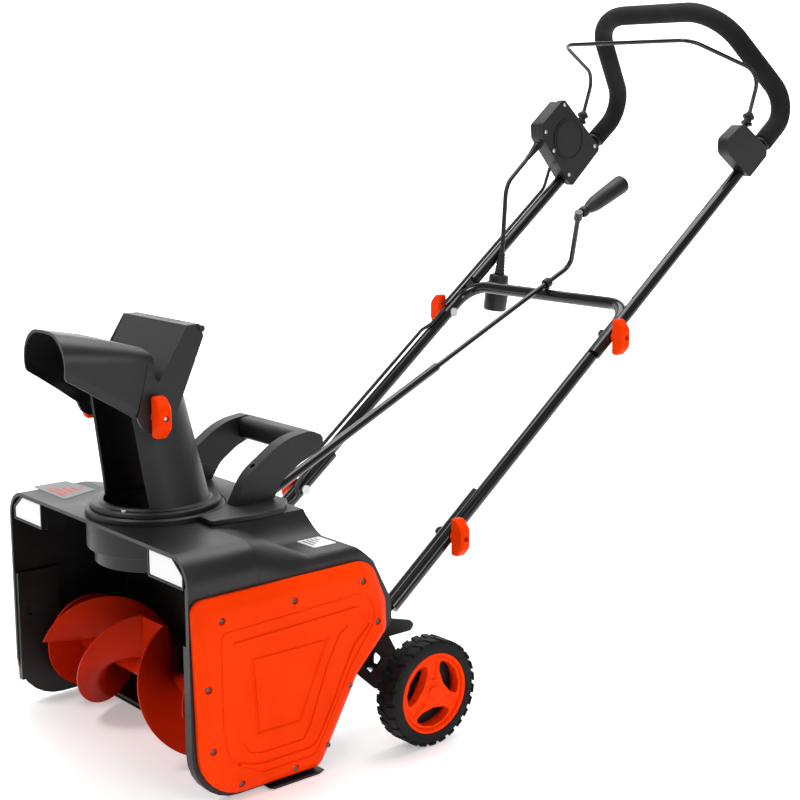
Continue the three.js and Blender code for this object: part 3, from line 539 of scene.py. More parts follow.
rear_outline = rounded([
    (REAR_START, ROOF + 2), (-40, ROOF + 2), (-40, 300.5), (34, 300.5, 14), (62, 276, 20), (94, 214, 20),
    (95, 180, 14), (56, 150, 20), (24, 115, 20), (-12, 54), (-34, 12), (-44.7, 12),
    (-44.7, 278), (REAR_START, 278),
], 6)
rear_cavity = [
    (-60, 296), (26, 296), (40, 291), (57, 273), (88, 210), (88, 186), (52, 153), (20, 118), (-15, 56),
    (-35, 20), (-60, 20),
]


def block(levels, front_y):
    """Raised block with flared sides, as levels of z, half width and back."""
    rings = []
    for z, x, back in levels:
        rings.append([(-x, front_y, z), (x, front_y, z), (x, back, z), (-x, back, z)])
    return skin(rings)


rear = common(across(rear_outline, -HALF, HALF), rear_loft(0))
rear = cut(rear, common(box(-INNER, INNER, SEAM, -44.7, 200, 340), rear_loft(WALL)))
slide = [
    (296, 178, 31), (301, 167, 30), (306, 158, 29), (312, 150, 28), (319, 143, 27), (327, 137, 25),
    (ROOF, 134, 23),
]
rear = union(rear, block(slide, REAR_START))
rear = union(rear, common(box(227.5, 241, REAR_START, -38, 277.6, 336), rear_loft(0)))
rear = union(rear, common(box(-241, -224, REAR_START, -50.4, 277.6, 336), rear_loft(0)))
rear = cut(
    rear,
    common(across(rear_cavity, -INNER, INNER), rear_loft(4)),
    across(inset(wall_outline, -0.3), 225.7, 241),
    across(inset(wall_outline, -0.3), -241, -INNER + 0.3),
    chute_hole(),
)
rear = cut(rear, bar((0, -40, 316), (0, 60, 316), 10, 24), box(-14, 14, -64, -30, 290, 333))
piece("motor_housing_shell", rear, SHELL, "chassis", ["motor_housing"], bevel=2.2, segments=3)

# Plain bars stand in for the printed labels.
label_outline = rounded([(168, -14, 2), (208, -14, 2), (208, 24, 2), (168, 24, 2)])
piece("rating_label", upward(label_outline, 300.6, 301.3), LABEL, "chassis", bevel=0)
mark_grey = material("mark_grey", (0.16, 0.16, 0.16), 0.45, grain=300, bump=0.02)
mark_outline = rounded([(-226, -205, 4), (-226, -150, 4), (-150, -142, 4), (-128, -205, 4)])
mark_ground = upward(mark_outline, ROOF + 0.05, ROOF + 0.4)
piece("roof_mark_ground", mark_ground, mark_grey, "chassis", bevel=0)
for k in range(5):
    bar_y = -196 + 10 * k
    mark = box(-200 + 6 * k, -150 - 5 * k, bar_y, bar_y + 4, ROOF + 0.4, ROOF + 0.6)
    piece(f"roof_mark_{k}", mark, MARK, "chassis", bevel=0)
for k in range(4):
    bar_y = -9 + 7 * k
    mark = box(173, 199 - 5 * k, bar_y, bar_y + 2.5, 301.3, 301.5)
    piece(f"rating_bar_{k}", mark, DARK, "chassis", bevel=0)

# ---- orange cover ----
# x of the cover's flat face
FACE = 254.0


def stepped(outline, levels):
    """Block whose (y, z) outline shrinks at each level of x."""
    return skin([[(x, y, z) for y, z in inset(outline, shrink)] for x, shrink in levels])


cover = stepped(cover_outline, ((240.3, 0.0), (246.5, 0.0), (252.5, 10.5), (FACE, 14.0)))
panel = rounded([
    (-196, 232, 8), (-196, 110, 30), (-188, 60, 34), (-136, 33, 20), (-52, 33, 12), (12, 146, 20),
    (56, 204, 24), (34, 239, 8),
], 8)
window = [(-154, 193), (-146, 84), (-74, 83), (-24, 193)]
rib_line = [
    (-179, 214), (22, 220), (46, 194), (18, 168), (1, 137), (-17, 99), (-34, 68), (-47, 47), (-60, 41),
    (-133, 40.6), (-157, 44.7), (-173, 52),
]
groove_line = [
    (-167, 77), (-157, 64), (-138, 58.6), (-70, 58.6), (-58, 78), (-46, 110), (-30, 151), (-10, 189),
    (6, 200),
]
cover = cut(cover, across(inset(panel, -3), FACE - 1.2, FACE + 5))
cover = union(cover, across(panel, FACE - 2.0, FACE - 0.1))


def strip(line, width, x0, x1):
    """Block of one width that follows a line of (y, z) points."""
    left, right = [], []
    for i, (y, z) in enumerate(line):
        before = Vector(line[max(i - 1, 0)])
        after = Vector(line[min(i + 1, len(line) - 1)])
        run = (after - before).normalized() * (width / 2)
        left.append((y - run.y, z + run.x))
        right.append((y + run.y, z - run.x))
    return across(left + right[::-1], x0, x1)


cover = cut(cover, strip(groove_line, 3.0, FACE - 1.6, FACE + 3))
cover = cut(cover, stepped(window, ((FACE - 2.4, 3.2), (FACE + 0.2, -0.2))))
cover = union(cover, across(inset(window, 6.2), FACE - 3, FACE - 1.0))
screws = [
    (-195, 249), (-81, 252), (34, 255), (59, 193), (13, 111), (-26, 36), (-82, 19), (-169, 23), (-212, 79),
    (-217, 163),
]
holes = [bar((249, y, z), (260, y, z), 5.0, 24) for y, z in screws]
cover = cut(cover, gather(holes))
piece("belt_cover_shell", cover, ORANGE, "chassis", ["belt_cover"], bevel=1.4, segments=3)
piece("cover_rib", strip(rib_line, 5.0, FACE - 1.0, FACE + 2.2), ORANGE, "chassis", bevel=1.2, segments=3)
head_profile = [(0, 3.6), (1.9, 3.6), (2.7, 2.8), (2.7, 1.4), (1.6, 1.2)]
heads = [turned((249.1, y, z), (260, y, z), head_profile, 20) for y, z in screws]
piece("cover_screws", gather(heads), CASE, "chassis", bevel=0.2)

# ---- other housing parts ----
cap_outline = rounded([(-205, 30, 40), (-70, 30, 40), (-70, 160, 40), (-205, 160, 40)], 10)
cap = stepped(cap_outline, ((-240.3, 0), (-246, 0), (-248, 5)))
piece("side_cap_shell", cap, DARK, "chassis", ["side_cap"], bevel=1)
blade = across([(-112, 1), (-106, 1), (-96, 3.6), (-113, 3.6)], -226, 222)
piece("scraper", blade, DARK, "chassis", ["scraper_bar"], 0.3)
skid_outline = rounded([(-126, 3.7), (-118, 0, 6), (-44, 0, 6), (-34, 3.7)], 6)
piece("skid_l", across(skid_outline, 226, 253), DARK, "chassis", ["skid_left"], 0.4)
piece("skid_r", across(skid_outline, -241, -230), DARK, "chassis", ["skid_right"], 0.4)
paint_cad(STEEL, "auger_bearing_left", "auger_bearing_right", "motor_pulley")
paint_cad(DARK, "auger_pulley")
paint_cad(RUBBER, "drive_belt")
paint_cad(CASE, "motor")

# ---- auger ----
# mm of travel per turn, and the angle at which the flights start
LEAD, TIP = 223.0, 88.0
HUB_HALF, AUGER_HALF, AUGER_R = 30.0, 190.0, 80.0


def auger_point(x, r, degrees):
    """Point at a radius and an angle about the auger's axis."""
    angle = math.radians(degrees)
    return (x, AXIS[0] - r * math.cos(angle), AXIS[1] + r * math.sin(angle))


def flight(side, start, steps=90):
    """One screw blade, from the centre paddle out to the end disc."""
    run = AUGER_HALF - HUB_HALF
    section = [
        (-2.6, 11), (-2.2, 40), (-2.4, AUGER_R - 3), (-1.6, AUGER_R), (1.6, AUGER_R), (2.4, AUGER_R - 3),
        (2.2, 40), (2.6, 11),
    ]
    rings = []
    for k in range(steps + 1):
        far = run * k / steps
        x = side * (HUB_HALF + far)
        angle = TIP + start - far / LEAD * 360
        rings.append([auger_point(x + dx, r, angle) for dx, r in section])
    return skin(rings)


def paddle(start):
    """Flat blade across the middle, as (radius, half width in degrees) from shaft to edge."""
    reach = HUB_HALF + 1
    profile = [(10, 22), (40, 3.6), (AUGER_R - 1, 1.6)]
    rings = []
    for x in (-reach, -reach / 2, 0, reach / 2, reach):
        rising = [auger_point(x, r, TIP + start - spread) for r, spread in profile]
        falling = [auger_point(x, r, TIP + start + spread) for r, spread in reversed(profile)]
        rings.append(rising + falling)
    return skin(rings)


auger_core = turned(auger_point(-221, 0, 0), auger_point(221, 0, 0), [(0, 15), (442, 15)], 36)
end_discs = [turned(auger_point(side * 189, 0, 0), auger_point(side * 193, 0, 0), [(0, 70), (4, 70)], 64)
             for side in (1, -1)]
blades = [flight(1, 0), flight(1, 180), flight(-1, 0), flight(-1, 180), paddle(0), paddle(180)]
screw = union(auger_core, *blades, *end_discs)
piece("auger_screw", screw, AUGER, "auger_rotor", bevel=0, smooth=40)
shaft = bar(auger_point(-235.5, 0, 0), auger_point(246.5, 0, 0), 7.9, 24)
piece("auger_shaft", shaft, STEEL, "auger_rotor", ["auger"], 0.6)

# ---- chute ----
collar_ring = turned((0, CHUTE_Y, 334.3), (0, CHUTE_Y, 343), [(0, 97), (6.5, 97), (8.7, 94.5)], 96)
collar_ring = cut(collar_ring, chute_hole())
piece("chute_collar_ring", collar_ring, SHELL, "chassis", ["chute_collar"], bevel=0.5)


def channel(z, y, r, wall=4.0, steps=40):
    """Section of the chute, a ring that is open to the front between 53 degrees each side."""
    ring = []
    for k in range(steps + 1):
        angle = math.radians(53 + 254 * k / steps)
        ring.append((r * math.sin(angle), y - r * math.cos(angle), z))
    for k in range(steps + 1):
        angle = math.radians(307 - 254 * k / steps)
        ring.append(((r - wall) * math.sin(angle), y - (r - wall) * math.cos(angle), z))
    return ring


levels = [(349, -133, 76.5), (353, -133.7, 75), (400, -142.5, 72), (470, -155.7, 67.5), (505, -162.2, 65.5)]
channel_body = skin([channel(*level) for level in levels])
flange = cut(
    turned((0, CHUTE_Y, 343.3), (0, CHUTE_Y, 353), [(0, 90), (5, 90), (7, 88), (7, 79), (9.5, 76.5)], 96),
    bar((0, CHUTE_Y, 300), (0, CHUTE_Y, 400), 71, 64),
)
# The hood hinges about a cross axis at this y and z.
HINGE = (-178, 484)
lugs = cut(
    bar((-78.2, *HINGE), (78.2, *HINGE), 13, 32),
    turned((0, -150.5, 430), (0, -163, 520), [(0, 63.5), (91, 63.5)], 48),
)
piece("chute_tube", channel_body, SHELL, "chute_body", ["chute"], bevel=0.8)
piece("chute_flange", flange, SHELL, "chute_body", bevel=0.6)
piece("chute_lugs", lugs, SHELL, "chute_body", bevel=0.6)
flange_screw = turned((40, -206, 350.4), (40, -206, 354), [(0, 4), (1.8, 4), (2.8, 2.6)], 20)
piece("flange_screw", flange_screw, STEEL, "chute_body", bevel=0.2)

# Sections from the mouth back, as y, foot, top, half width and corner radius.
hood_levels = [
    (-294, 541, 600, 57, 42), (-275, 529, 596, 61, 38), (-240, 506, 588, 70, 32), (-214, 488, 582, 78, 26),
    (-196, 476, 577, 82, 22), (-178, 466, 571, 82.4, 18),
]
hood_side = rounded([
    (-296, 620), (-296, 540, 26), (-184, 467), (-178, 470), (-178, 573, 22), (-216, 583), (-216, 620),
], 10)


def hood(shrink, drop=0, ends=0):
    """Arched hood, inset by shrink and drawn out by ends at its mouth and back."""
    rings = []
    for i, (y, foot, top, half, corner) in enumerate(hood_levels):
        if i == 0:
            y -= ends
        if i == len(hood_levels) - 1:
            y += ends
        edge = half - shrink
        outline = rounded([
            (edge - 3, foot - drop), (edge, foot + 14, 20), (edge - 1, top - shrink, corner),
            (1 - edge, top - shrink, corner), (-edge, foot + 14, 20), (3 - edge, foot - drop),
        ], 12)
        rings.append([(x, y, z) for x, z in outline])
    return skin(rings)


cheek_outline = rounded([
    (-206, 484, 6), (-188, 552), (-184, 538), (-172, 529), (-126, 600), (-104, 597, 4), (-101, 583),
    (-145, 486), (-158, 462, 20), (-196, 462, 20),
], 8)
hood_shell = common(cut(hood(0), hood(3.5, 4, 2)), across(hood_side, -100, 100))
flap = union(
    across(cheek_outline, 78.6, 82.5), across(cheek_outline, -82.5, -78.6),
    across([(-126, 600), (-122.5, 598), (-176, 512), (-179.5, 514)], -80, 80),
    box(-80, 80, -126, -105, 596.5, 600),
    bar((-84.5, -104, 594), (84.5, -104, 594), 4.5, 24),
    across([(-128.5, 594), (-126.6, 592.8), (-150, 555), (-152, 556)], -74, 74),
)
piece("deflector_hood", hood_shell, SHELL, "deflector_body", ["deflector"], bevel=1.0, segments=3)
piece("deflector_flap", flap, SHELL, "deflector_body", bevel=1.0, segments=3)


# ---- wing knobs ----
def wing_knob(x, y, z):
    """Winged knob that stands out to the operator's left of a point."""
    wing = rounded([(1, -28, 3), (13, -28.5, 8), (26, -15, 14), (26, 15, 14), (13, 28.5, 8), (1, 28, 3)], 8)
    rings = []
    for depth, shrink in ((-9, 2.5), (-6, 0), (6, 0), (9, 2.5)):
        rings.append([(x + a, y + depth, z + b) for a, b in inset(wing, shrink)])
    body = skin(rings)
    body = union(body, bar((x, y, z), (x + 3, y, z), 8.5, 32))
    return cut(body, bar((x + 15, y, z), (x + 30, y, z), 4, 20))


def knob_pair(name, body_left, body_right, x, y, z, nodes, silver=False):
    left = wing_knob(x, y, z)
    right = mirrored(left)
    piece(f"{name}_left", left, ORANGE, body_left, [f"{nodes}_left"], bevel=0.8)
    piece(f"{name}_right", right, ORANGE, body_right, [f"{nodes}_right"], bevel=0.8)
    if silver:
        screw_head = turned((x + 14, y, z), (x + 30, y, z), [(0, 3.8), (8, 3.8), (9.4, 2.4)], 20)
        twin = mirrored(screw_head)
        piece(f"{name}_screw_left", screw_head, STEEL, body_left, bevel=0.2)
        piece(f"{name}_screw_right", twin, STEEL, body_right, bevel=0.2)


knob_pair("wing_deflector", "deflector_knob_l", "deflector_knob_r", 82.8, *HINGE, "deflector_knob", True)
knob_pair("wing_lower", "lower_knob_l", "lower_knob_r", 196.6, *along(0), "lower_knob")
knob_pair("wing_upper", "upper_knob_l", "upper_knob_r", 200.6, *along(425.3), "upper_knob")

# ---- top plate and carry handle ----
plate_outline = rounded([
    (-93, -125), (-130, -128, 6), (-141, -60, 20), (-137, -14, 10), (-100, 21, 10),
    (100, 21, 10), (137, -14, 10), (141, -60, 20), (130, -128, 6), (93, -125),
], 6)
plate = cut(upward(plate_outline, 334.3, 342), chute_hole(97.4))
piece("top_plate_shell", plate, SHELL, "chassis", ["top_plate"], bevel=1.6, segments=3)
arm_outline = rounded([
    (-60, 342.3), (-37, 383, 70), (28, 426, 110), (74, 431, 24), (95, 421, 10), (93, 402, 10), (52, 386, 60),
    (22, 366, 50), (6, 342.3),
], 10)
grip_section = rounded([(56, 396, 8), (88, 400, 10), (86, 430, 10), (54, 428, 10)], 6)
carry = union(across(arm_outline, 68, 88), across(arm_outline, -88, -68), across(grip_section, -70, 70))
carry = cut(carry, bar((78, -35, 405), (78, -15, 385), 4.2, 24))
piece("carry_handle_shell", carry, SHELL, "chassis", ["carry_handle"], bevel=3.0, segments=4)

# ---- crank ----
ROD_SLOPE = math.radians(24.95)


def rod(d, up=0.0, x=0.0):
    """Point at a distance along the crank rod, with a height and a side step square to it."""
    return (x, 44 + d * math.cos(ROD_SLOPE) - up * math.sin(ROD_SLOPE),
            316.1 + d * math.sin(ROD_SLOPE) + up * math.cos(ROD_SLOPE))


# The crank arm's turn from upright, its distance along the rod, and its radius.
CRANK_TURN = math.radians(29)
CRANK_D = 718
CRANK_R = 112


def crank_out(d, r):
    """Point at a distance along the rod and a radius along the crank arm."""
    return rod(d, r * math.cos(CRANK_TURN), r * math.sin(CRANK_TURN))


rod_line = bent([rod(12), (*rod(CRANK_D), 18), crank_out(CRANK_D, CRANK_R)], 10)
piece("crank_rod_bar", tube(rod_line, 4.4, 20), TUBE, "crank", ["crank_rod"], bevel=0)
sleeve = turned(rod(10), rod(384), [(0, 6), (1, 7), (372, 7), (374, 6)], 28)
piece("crank_sleeve", sleeve, TUBE, "crank", bevel=0)
socket = bar(crank_out(CRANK_D, CRANK_R - 8), crank_out(CRANK_D, CRANK_R + 8), 7.2, 24)
piece("crank_socket", socket, TUBE, "crank", bevel=1)
grip_profile = [
    (0, 6.5), (2, 9), (8, 9.6), (11, 9), (13, 7.6), (16, 8.2), (22, 10.6), (34, 13), (60, 14.2), (88, 15),
    (103, 15.6), (107, 15), (108.5, 12.5), (110, 12), (110.4, 4),
]
grip_body = turned(crank_out(CRANK_D + 8, CRANK_R), crank_out(CRANK_D + 118, CRANK_R), grip_profile, 40)


def flute_end(d, radius, angle):
    """Point near the grip's surface, at a radius and an angle about its own axis."""
    x, y, z = crank_out(d, CRANK_R)
    lift, shift = radius * math.cos(angle), radius * math.sin(angle)
    return (x + shift, y - lift * math.sin(ROD_SLOPE), z + lift * math.cos(ROD_SLOPE))


FLUTES = 8
FLUTE_R = 15.9
flutes = []
for k in range(FLUTES):
    angle = 2 * math.pi * k / FLUTES
    flute_foot = flute_end(CRANK_D + 44, FLUTE_R * 0.94, angle)
    flute_head = flute_end(CRANK_D + 108, FLUTE_R * 1.04, angle)
    flutes.append(bar(flute_foot, flute_head, 1.6, 10))
grip_body = cut(grip_body, gather(flutes))
piece("crank_grip_body", grip_body, RUBBER, "crank_handle", ["crank_grip"], bevel=0.4)
paint_cad(DARK, "chute_pinion", "rod_guide")

# ---- handle tubes ----
# x at which the flattened tube ends meet at the lower and upper knobs
LAP_LOW = 181.5
LAP_HIGH = 187.5
# x of each left tube, the tubes' radius, and how wide a flattening cut reaches
LOWER_X, MIDDLE_X, UPPER_X = 177, 186, 190
TUBE_R = 10
WIDE = 230


def band(s0, s1, x0, x1):
    """Block around a length of the handle, to flatten a tube."""
    return across([along(s0, -30), along(s0, 30), along(s1, 30), along(s1, -30)], x0, x1)


def flip(p):
    return (-p[0], *p[1:])


middle = tube(bent([
    on_handle(MIDDLE_X, -142), (*on_handle(MIDDLE_X, 493.3), 42), (*on_handle(-MIDDLE_X, 493.3), 42),
    on_handle(-MIDDLE_X, -142),
], 14), TUBE_R, 28)
middle = cut(middle, band(-200, 86, -LAP_LOW - 0.15, LAP_LOW + 0.15))
middle = cut(middle, band(377, 481.3, LAP_HIGH - 0.15, WIDE))
middle = cut(middle, band(377, 481.3, -WIDE, -LAP_HIGH + 0.15))
piece("middle_handle_tube", middle, TUBE, "chassis", ["middle_handle"], bevel=0.5)
lower_line = bent([on_handle(LOWER_X, 82), (*on_handle(LOWER_X, -170), 30), (LOWER_X, 99, 100)], 10)
lower = tube(lower_line, TUBE_R, 28)
lower = cut(lower, band(-146, 92, LAP_LOW - 0.15, WIDE))
lower_twin = mirrored(lower)
piece("lower_tube_l", lower, TUBE, "chassis", ["lower_tube_left"], bevel=0.5)
piece("lower_tube_r", lower_twin, TUBE, "chassis", ["lower_tube_right"], bevel=0.5)
LOOP_TURN = on_handle(UPPER_X, 993.3)
LOOP_TOP = (134, 892, 1041)


def loop(first):
    """Line of the upper handle from a point on its left, round the top and down its right."""
    half = [first, (*LOOP_TURN, 50), (*LOOP_TOP, 85)]
    return bent(half + [flip(p) for p in reversed(half)], 16)


upper = tube(loop(on_handle(UPPER_X, 382.3)), TUBE_R, 28)
upper = cut(upper, band(365.3, 505.3, -LAP_HIGH - 0.15, LAP_HIGH + 0.15))
piece("upper_handle_tube", upper, TUBE, "upper_frame", ["upper_handle"], bevel=0.5)
grip_line = loop(on_handle(UPPER_X, 898))
foam = piece("foam_sleeve", tube(grip_line, 16.5, 32), FOAM, "upper_frame", ["foam_grip"],
             bevel=2.5, segments=3)
for side, tag in ((1, "l"), (-1, "r")):
    foam_collar = bar(on_handle(side * UPPER_X, 892), on_handle(side * UPPER_X, 897.6), 14, 28)
    piece(f"foam_collar_{tag}", foam_collar, DARK, "upper_frame", bevel=1)
paint_cad(STEEL, "lower_bolt_left", "lower_bolt_right", "upper_bolt_left", "upper_bolt_right", "axle")

# ---- switch box, pivot box and bail ----
box_outline = [(782, -17, 8), (776, 100, 14), (790, 122, 10), (862, 124, 10), (884, -10, 8)]


def handle_block(corners, x0, x1, shrink=0.0):
    """Block from corners given along and square to the handle."""
    outline = inset([along(s, up) for s, up in rounded(corners, 6)], shrink)
    return across(outline, x0, x1)


def well(x):
    """Slot in which an end of the bail swings."""
    return across([(892, 826), (918, 826), (934, 884), (884, 884)], x - 5, x + 5)


switch = union(
    handle_block(box_outline, -205, -177, 2.5),
    handle_block(box_outline, -185, -177),
    handle_block(box_outline, -208, -200, 6),
)
switch = cut(switch, well(-188))
piece("switch_box_shell", switch, SHELL, "upper_frame", ["switch_box"], bevel=2.2, segments=3)


def dial_disc(x0, x1, radius):
    return bar(on_handle(x0, 828, 58), on_handle(x1, 828, 58), radius, 64)


lid = union(handle_block(box_outline, -176.7, -172), dial_disc(-173, -170.6, 38))
lid = cut(lid, cut(dial_disc(-171.8, -168, 35), dial_disc(-175, -165, 33)))
piece("switch_lid", lid, SHELL, "upper_frame", ["switch_cover"], bevel=1.0, segments=3)
lid_screw_profile = [(0, 3.6), (1.8, 3.6), (2.8, 2.2)]
lid_screws = []
for s, up in ((790, 6), (874, 4), (785, 66), (789, 106), (856, 114)):
    lid_screws.append(turned(on_handle(-172.4, s, up), on_handle(-168, s, up), lid_screw_profile, 16))
piece("lid_screws", gather(lid_screws), STEEL, "upper_frame", bevel=0.3)
paint_cad(ORANGE, "lock_button")
pivot_outline = [(824, -12, 6), (801, 60, 18), (816, 77, 12), (862, 72, 16), (888, 0, 8), (880, -12, 6)]
pivot_box = union(handle_block(pivot_outline, 185, 206), handle_block(pivot_outline, 181.5, 190, 6))
pivot_box = cut(pivot_box, well(188))
piece("pivot_box_shell", pivot_box, SHELL, "upper_frame", ["pivot_box"], bevel=3.0, segments=4)
BAIL_X = 188
bail_rest = [(BAIL_X, 906, 840), (BAIL_X, 918, 864, 6), (BAIL_X, 945, 940, 30), (142, 818, 991, 30)]
bail_line = bent(bail_rest + [flip(p) for p in reversed(bail_rest)], 10)
boot_profile = [(0, 6), (2, 9.5), (5, 9.5), (7, 7), (12, 6.6), (13, 10), (17, 10), (19, 8), (23, 5)]
for side, tag in ((1, "l"), (-1, "r")):
    boot = turned((side * BAIL_X, 913, 853), (side * BAIL_X, 922, 874), boot_profile, 28)
    piece(f"bail_boot_{tag}", boot, RUBBER, "bail_body", bevel=0.4)
piece("bail_rod", tube(bail_line, 3.5, 16), TUBE, "bail_body", ["bail"], bevel=0)


# ---- wheels ----
# axle (y, z)
WHEEL = (138, 77)


def wheel_point(x, r, degrees):
    """Point at a radius and an angle about the axle."""
    angle = math.radians(degrees)
    return (x, WHEEL[0] + r * math.cos(angle), WHEEL[1] + r * math.sin(angle))


def revolve_x(profile, sides):
    """Closed ring about the axle, from a profile of (x, radius)."""
    rings = [[wheel_point(x, r, 360 * k / sides) for x, r in profile] for k in range(sides)]
    return skin(rings, closed=True)


TREAD_BLOCKS = 26
TREAD_HALF = 360 / TREAD_BLOCKS * 0.36
TREAD_FOOT, TREAD_TOP = 73.5, 76.9


def tread_end(x, lean, mid):
    """Four corners of one end of a tread block, whose top leans in by lean."""
    return [
        wheel_point(x, TREAD_FOOT, mid - TREAD_HALF),
        wheel_point(x + lean, TREAD_TOP, mid - TREAD_HALF * 0.85),
        wheel_point(x + lean, TREAD_TOP, mid + TREAD_HALF * 0.85),
        wheel_point(x, TREAD_FOOT, mid + TREAD_HALF),
    ]


def tyre():
    carcass = revolve_x([
        (246, 58.5), (245.3, 66), (246.5, 72), (250, 75.2), (278, 75.2), (281.5, 72), (282.8, 66),
        (282, 58.5),
    ], 96)
    blocks = []
    for k in range(TREAD_BLOCKS):
        inner_mid = 360 * k / TREAD_BLOCKS
        outer_mid = 360 * (k + 0.5) / TREAD_BLOCKS
        blocks.append(skin([tread_end(245.4, 0.9, inner_mid - 1.6), tread_end(261.5, 0, inner_mid + 1.6)]))
        blocks.append(skin([tread_end(266.5, 0, outer_mid + 1.6), tread_end(282.6, -0.9, outer_mid - 1.6)]))
    rib = revolve_x([(262.5, 71), (262.5, 76.4), (265.5, 76.4), (265.5, 71)], 96)
    return gather([carcass, rib] + blocks)


def rim():
    """Rim with three spokes, each with a shallow groove."""
    ring = revolve_x([
        (247, 57.9), (247, 54), (252, 51), (276, 51), (281.4, 53.5), (282.4, 55.5), (282, 57.9),
    ], 72)
    web = turned((266, *WHEEL), (280, *WHEEL), [(0, 51.5), (12.6, 51.5), (13.4, 40), (14, 18)], 72)
    web = union(web, turned((246, *WHEEL), (280.4, *WHEEL), [(0, 16.5), (34, 16.5), (34.6, 15.5)], 48))
    corners = [
        (21, 0, 6), (32, -40, 4), (47, -45, 5), (48.4, -22, 0), (48.8, 0, 0), (48.4, 22, 0), (47, 45, 5),
        (32, 40, 4),
    ]
    windows = []
    for i in range(3):
        outline = []
        for r, offset, radius in corners:
            point = wheel_point(0, r, -90 + 120 * i + offset)
            outline.append((point[1], point[2], radius))
        windows.append(across(rounded(outline, 5), 240, 290))
    grooves = []
    for i in range(3):
        spoke = math.radians(90 + 120 * i)
        way = Vector((math.cos(spoke), math.sin(spoke)))
        flank = Vector((-way.y, way.x))
        foot, head = way * 20, way * 46
        groove = [foot - flank * 4.2, head - flank * 6.5, head + flank * 6.5, foot + flank * 4.2]
        grooves.append(across([(WHEEL[0] + c.x, WHEEL[1] + c.y) for c in groove], 278.0, 284))
    web = cut(web, *windows)
    web = cut(web, *grooves, bar((200, *WHEEL), (283, *WHEEL), 6.2, 20))
    return gather([ring, web])


def rim_shade_disc():
    """Dark disc seen between the spokes, painted shade: it darkens the windows between the spokes, where
    only shade lies behind them.
    """
    return cut(bar((256, *WHEEL), (258, *WHEEL), 51, 64), bar((250, *WHEEL), (262, *WHEEL), 16.8, 40))


cap_profile = [(0, 10.5), (1.2, 10.5), (1.9, 9.6), (1.9, 8.2), (1.1, 7.6)]
cap_shape = turned((280.6, *WHEEL), (283.4, *WHEEL), cap_profile, 48)
wheel_shapes = [tyre(), rim(), cap_shape, rim_shade_disc()]
wheel_twins = [mirrored(shape) for shape in wheel_shapes]
for side, tag, name in ((1, "left", "l"), (-1, "right", "r")):
    shapes = wheel_shapes if side > 0 else wheel_twins
    piece(f"tyre_tread_{name}", shapes[0], TYRE, f"wheel_{name}", [f"tyre_{tag}"], bevel=0.5, segments=1)
    piece(f"wheel_rim_{name}", shapes[1], ORANGE, f"wheel_{name}", [f"rim_{tag}"], bevel=1.2, segments=3)
    piece(f"wheel_cap_{name}", shapes[2], ORANGE, f"wheel_{name}", [f"hub_cap_{tag}"], bevel=0.3)
    # The dark disc behind the spokes is painted shade in the rim's windows.
    piece(f"rim_backing_{name}", shapes[3], DARK, f"wheel_{name}", bevel=0.4)
paint_cad(DARK, "wheel_bracket_left", "wheel_bracket_right")

# ---- motor cable, which lies along the right tube and steps inward beside the upper knob ----
def cable_side(s, x=-192):
    return on_handle(x, s, 14.5)


cable_line = bent([on_handle(-192, 774, 34), (*cable_side(740), 30), cable_side(431.3)], 8)
piece("cable_top", tube(cable_line, 3, 14), RUBBER, "upper_frame", ["cable_upper"], bevel=0)
cable_line = bent([
    cable_side(419.3, -182), (*cable_side(380, -182), 8), (*cable_side(362), 8), (*cable_side(60), 30),
    (*on_handle(-160, -12, 22), 14), (-150, 226, 262, 14), (-150, 150, 225, 20), (-150, 99, 222),
], 8)
piece("cable_bottom", tube(cable_line, 3, 14), RUBBER, "chassis", ["cable_lower"], bevel=0)

# ---- floor and light ----
def glowing(name, grey, roughness, strength):
    mat = bpy.data.materials.new(name)
    mat.use_nodes = True
    shader = mat.node_tree.nodes["Principled BSDF"]
    shader.inputs["Base Color"].default_value = (grey, grey, grey, 1)
    shader.inputs["Roughness"].default_value = roughness
    shader.inputs["Emission Color"].default_value = (1, 1, 1, 1)
    shader.inputs["Emission Strength"].default_value = strength
    return mat


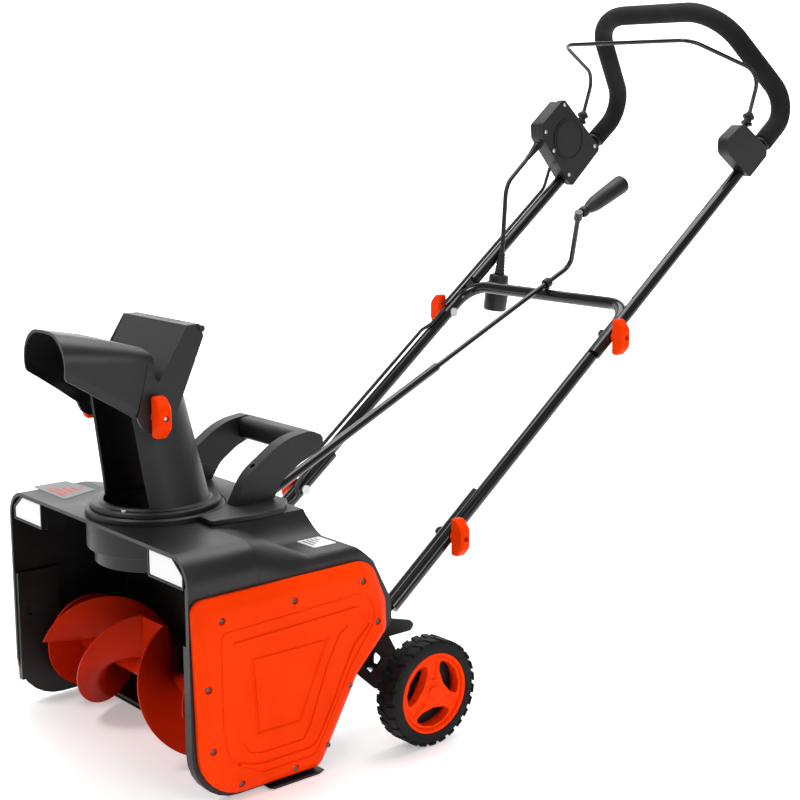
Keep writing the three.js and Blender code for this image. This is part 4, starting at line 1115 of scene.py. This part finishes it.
FLOOR_HALF = 30
floor_mesh = bpy.data.meshes.new("floor")
floor_corners = [(FLOOR_HALF * x, FLOOR_HALF * y, 0) for x, y in ((-1, -1), (1, -1), (1, 1), (-1, 1))]
floor_mesh.from_pydata(floor_corners, [], [(0, 1, 2, 3)])
floor_mesh.materials.append(glowing("pale_floor", 0.93, 0.6, 0.34))
floor = shown("floor", floor_mesh)

world = bpy.data.worlds.new("studio")
bpy.context.scene.world = world
world.use_nodes = True
world.node_tree.nodes["Background"].inputs["Color"].default_value = (1, 1, 1, 1)
world.node_tree.nodes["Background"].inputs["Strength"].default_value = 0.32

# A curved white backdrop behind the machine, seen over the floor's far edge.
sweep = Vector((heading.x, heading.y)).normalized()
side_way = Vector((-sweep.y, sweep.x))
backdrop_points = []
for distance, height in ((3.0, 0.004), (4.2, 0.1), (5.0, 0.6), (5.3, 1.4), (5.4, 6.0)):
    for reach in (-9, 9):
        spot = sweep * distance + side_way * reach
        backdrop_points.append((spot.x, spot.y, height))
backdrop_mesh = bpy.data.meshes.new("backdrop")
backdrop_mesh.from_pydata(backdrop_points, [], [(2 * k, 2 * k + 1, 2 * k + 3, 2 * k + 2) for k in range(4)])
backdrop_mesh.polygons.foreach_set("use_smooth", [True] * 4)
backdrop_mesh.materials.append(glowing("backdrop_glow", 0.9, 0.5, 1.2))
backdrop = shown("backdrop", backdrop_mesh)


def lamp(name, place, target, size, watts):
    """Square lamp, with its place, target and size in metres."""
    data = bpy.data.lights.new(name, "AREA")
    data.shape = "SQUARE"
    data.size = size
    data.energy = watts
    light = shown(name, data)
    light.location = place
    light.visible_camera = False
    light.rotation_euler = (Vector(target) - Vector(place)).to_track_quat("-Z", "Y").to_euler()


lamp("key", (-0.4, 0.5, 3.4), (0, 0, 0.2), 2.4, 92)
lamp("side", (3.2, -0.6, 1.7), (0, 0, 0.3), 1.2, 29)
lamp("front", (-0.9, -2.3, 3.4), (0, -0.1, 0.4), 1.0, 52)
bpy.context.scene.view_settings.view_transform = "Standard"
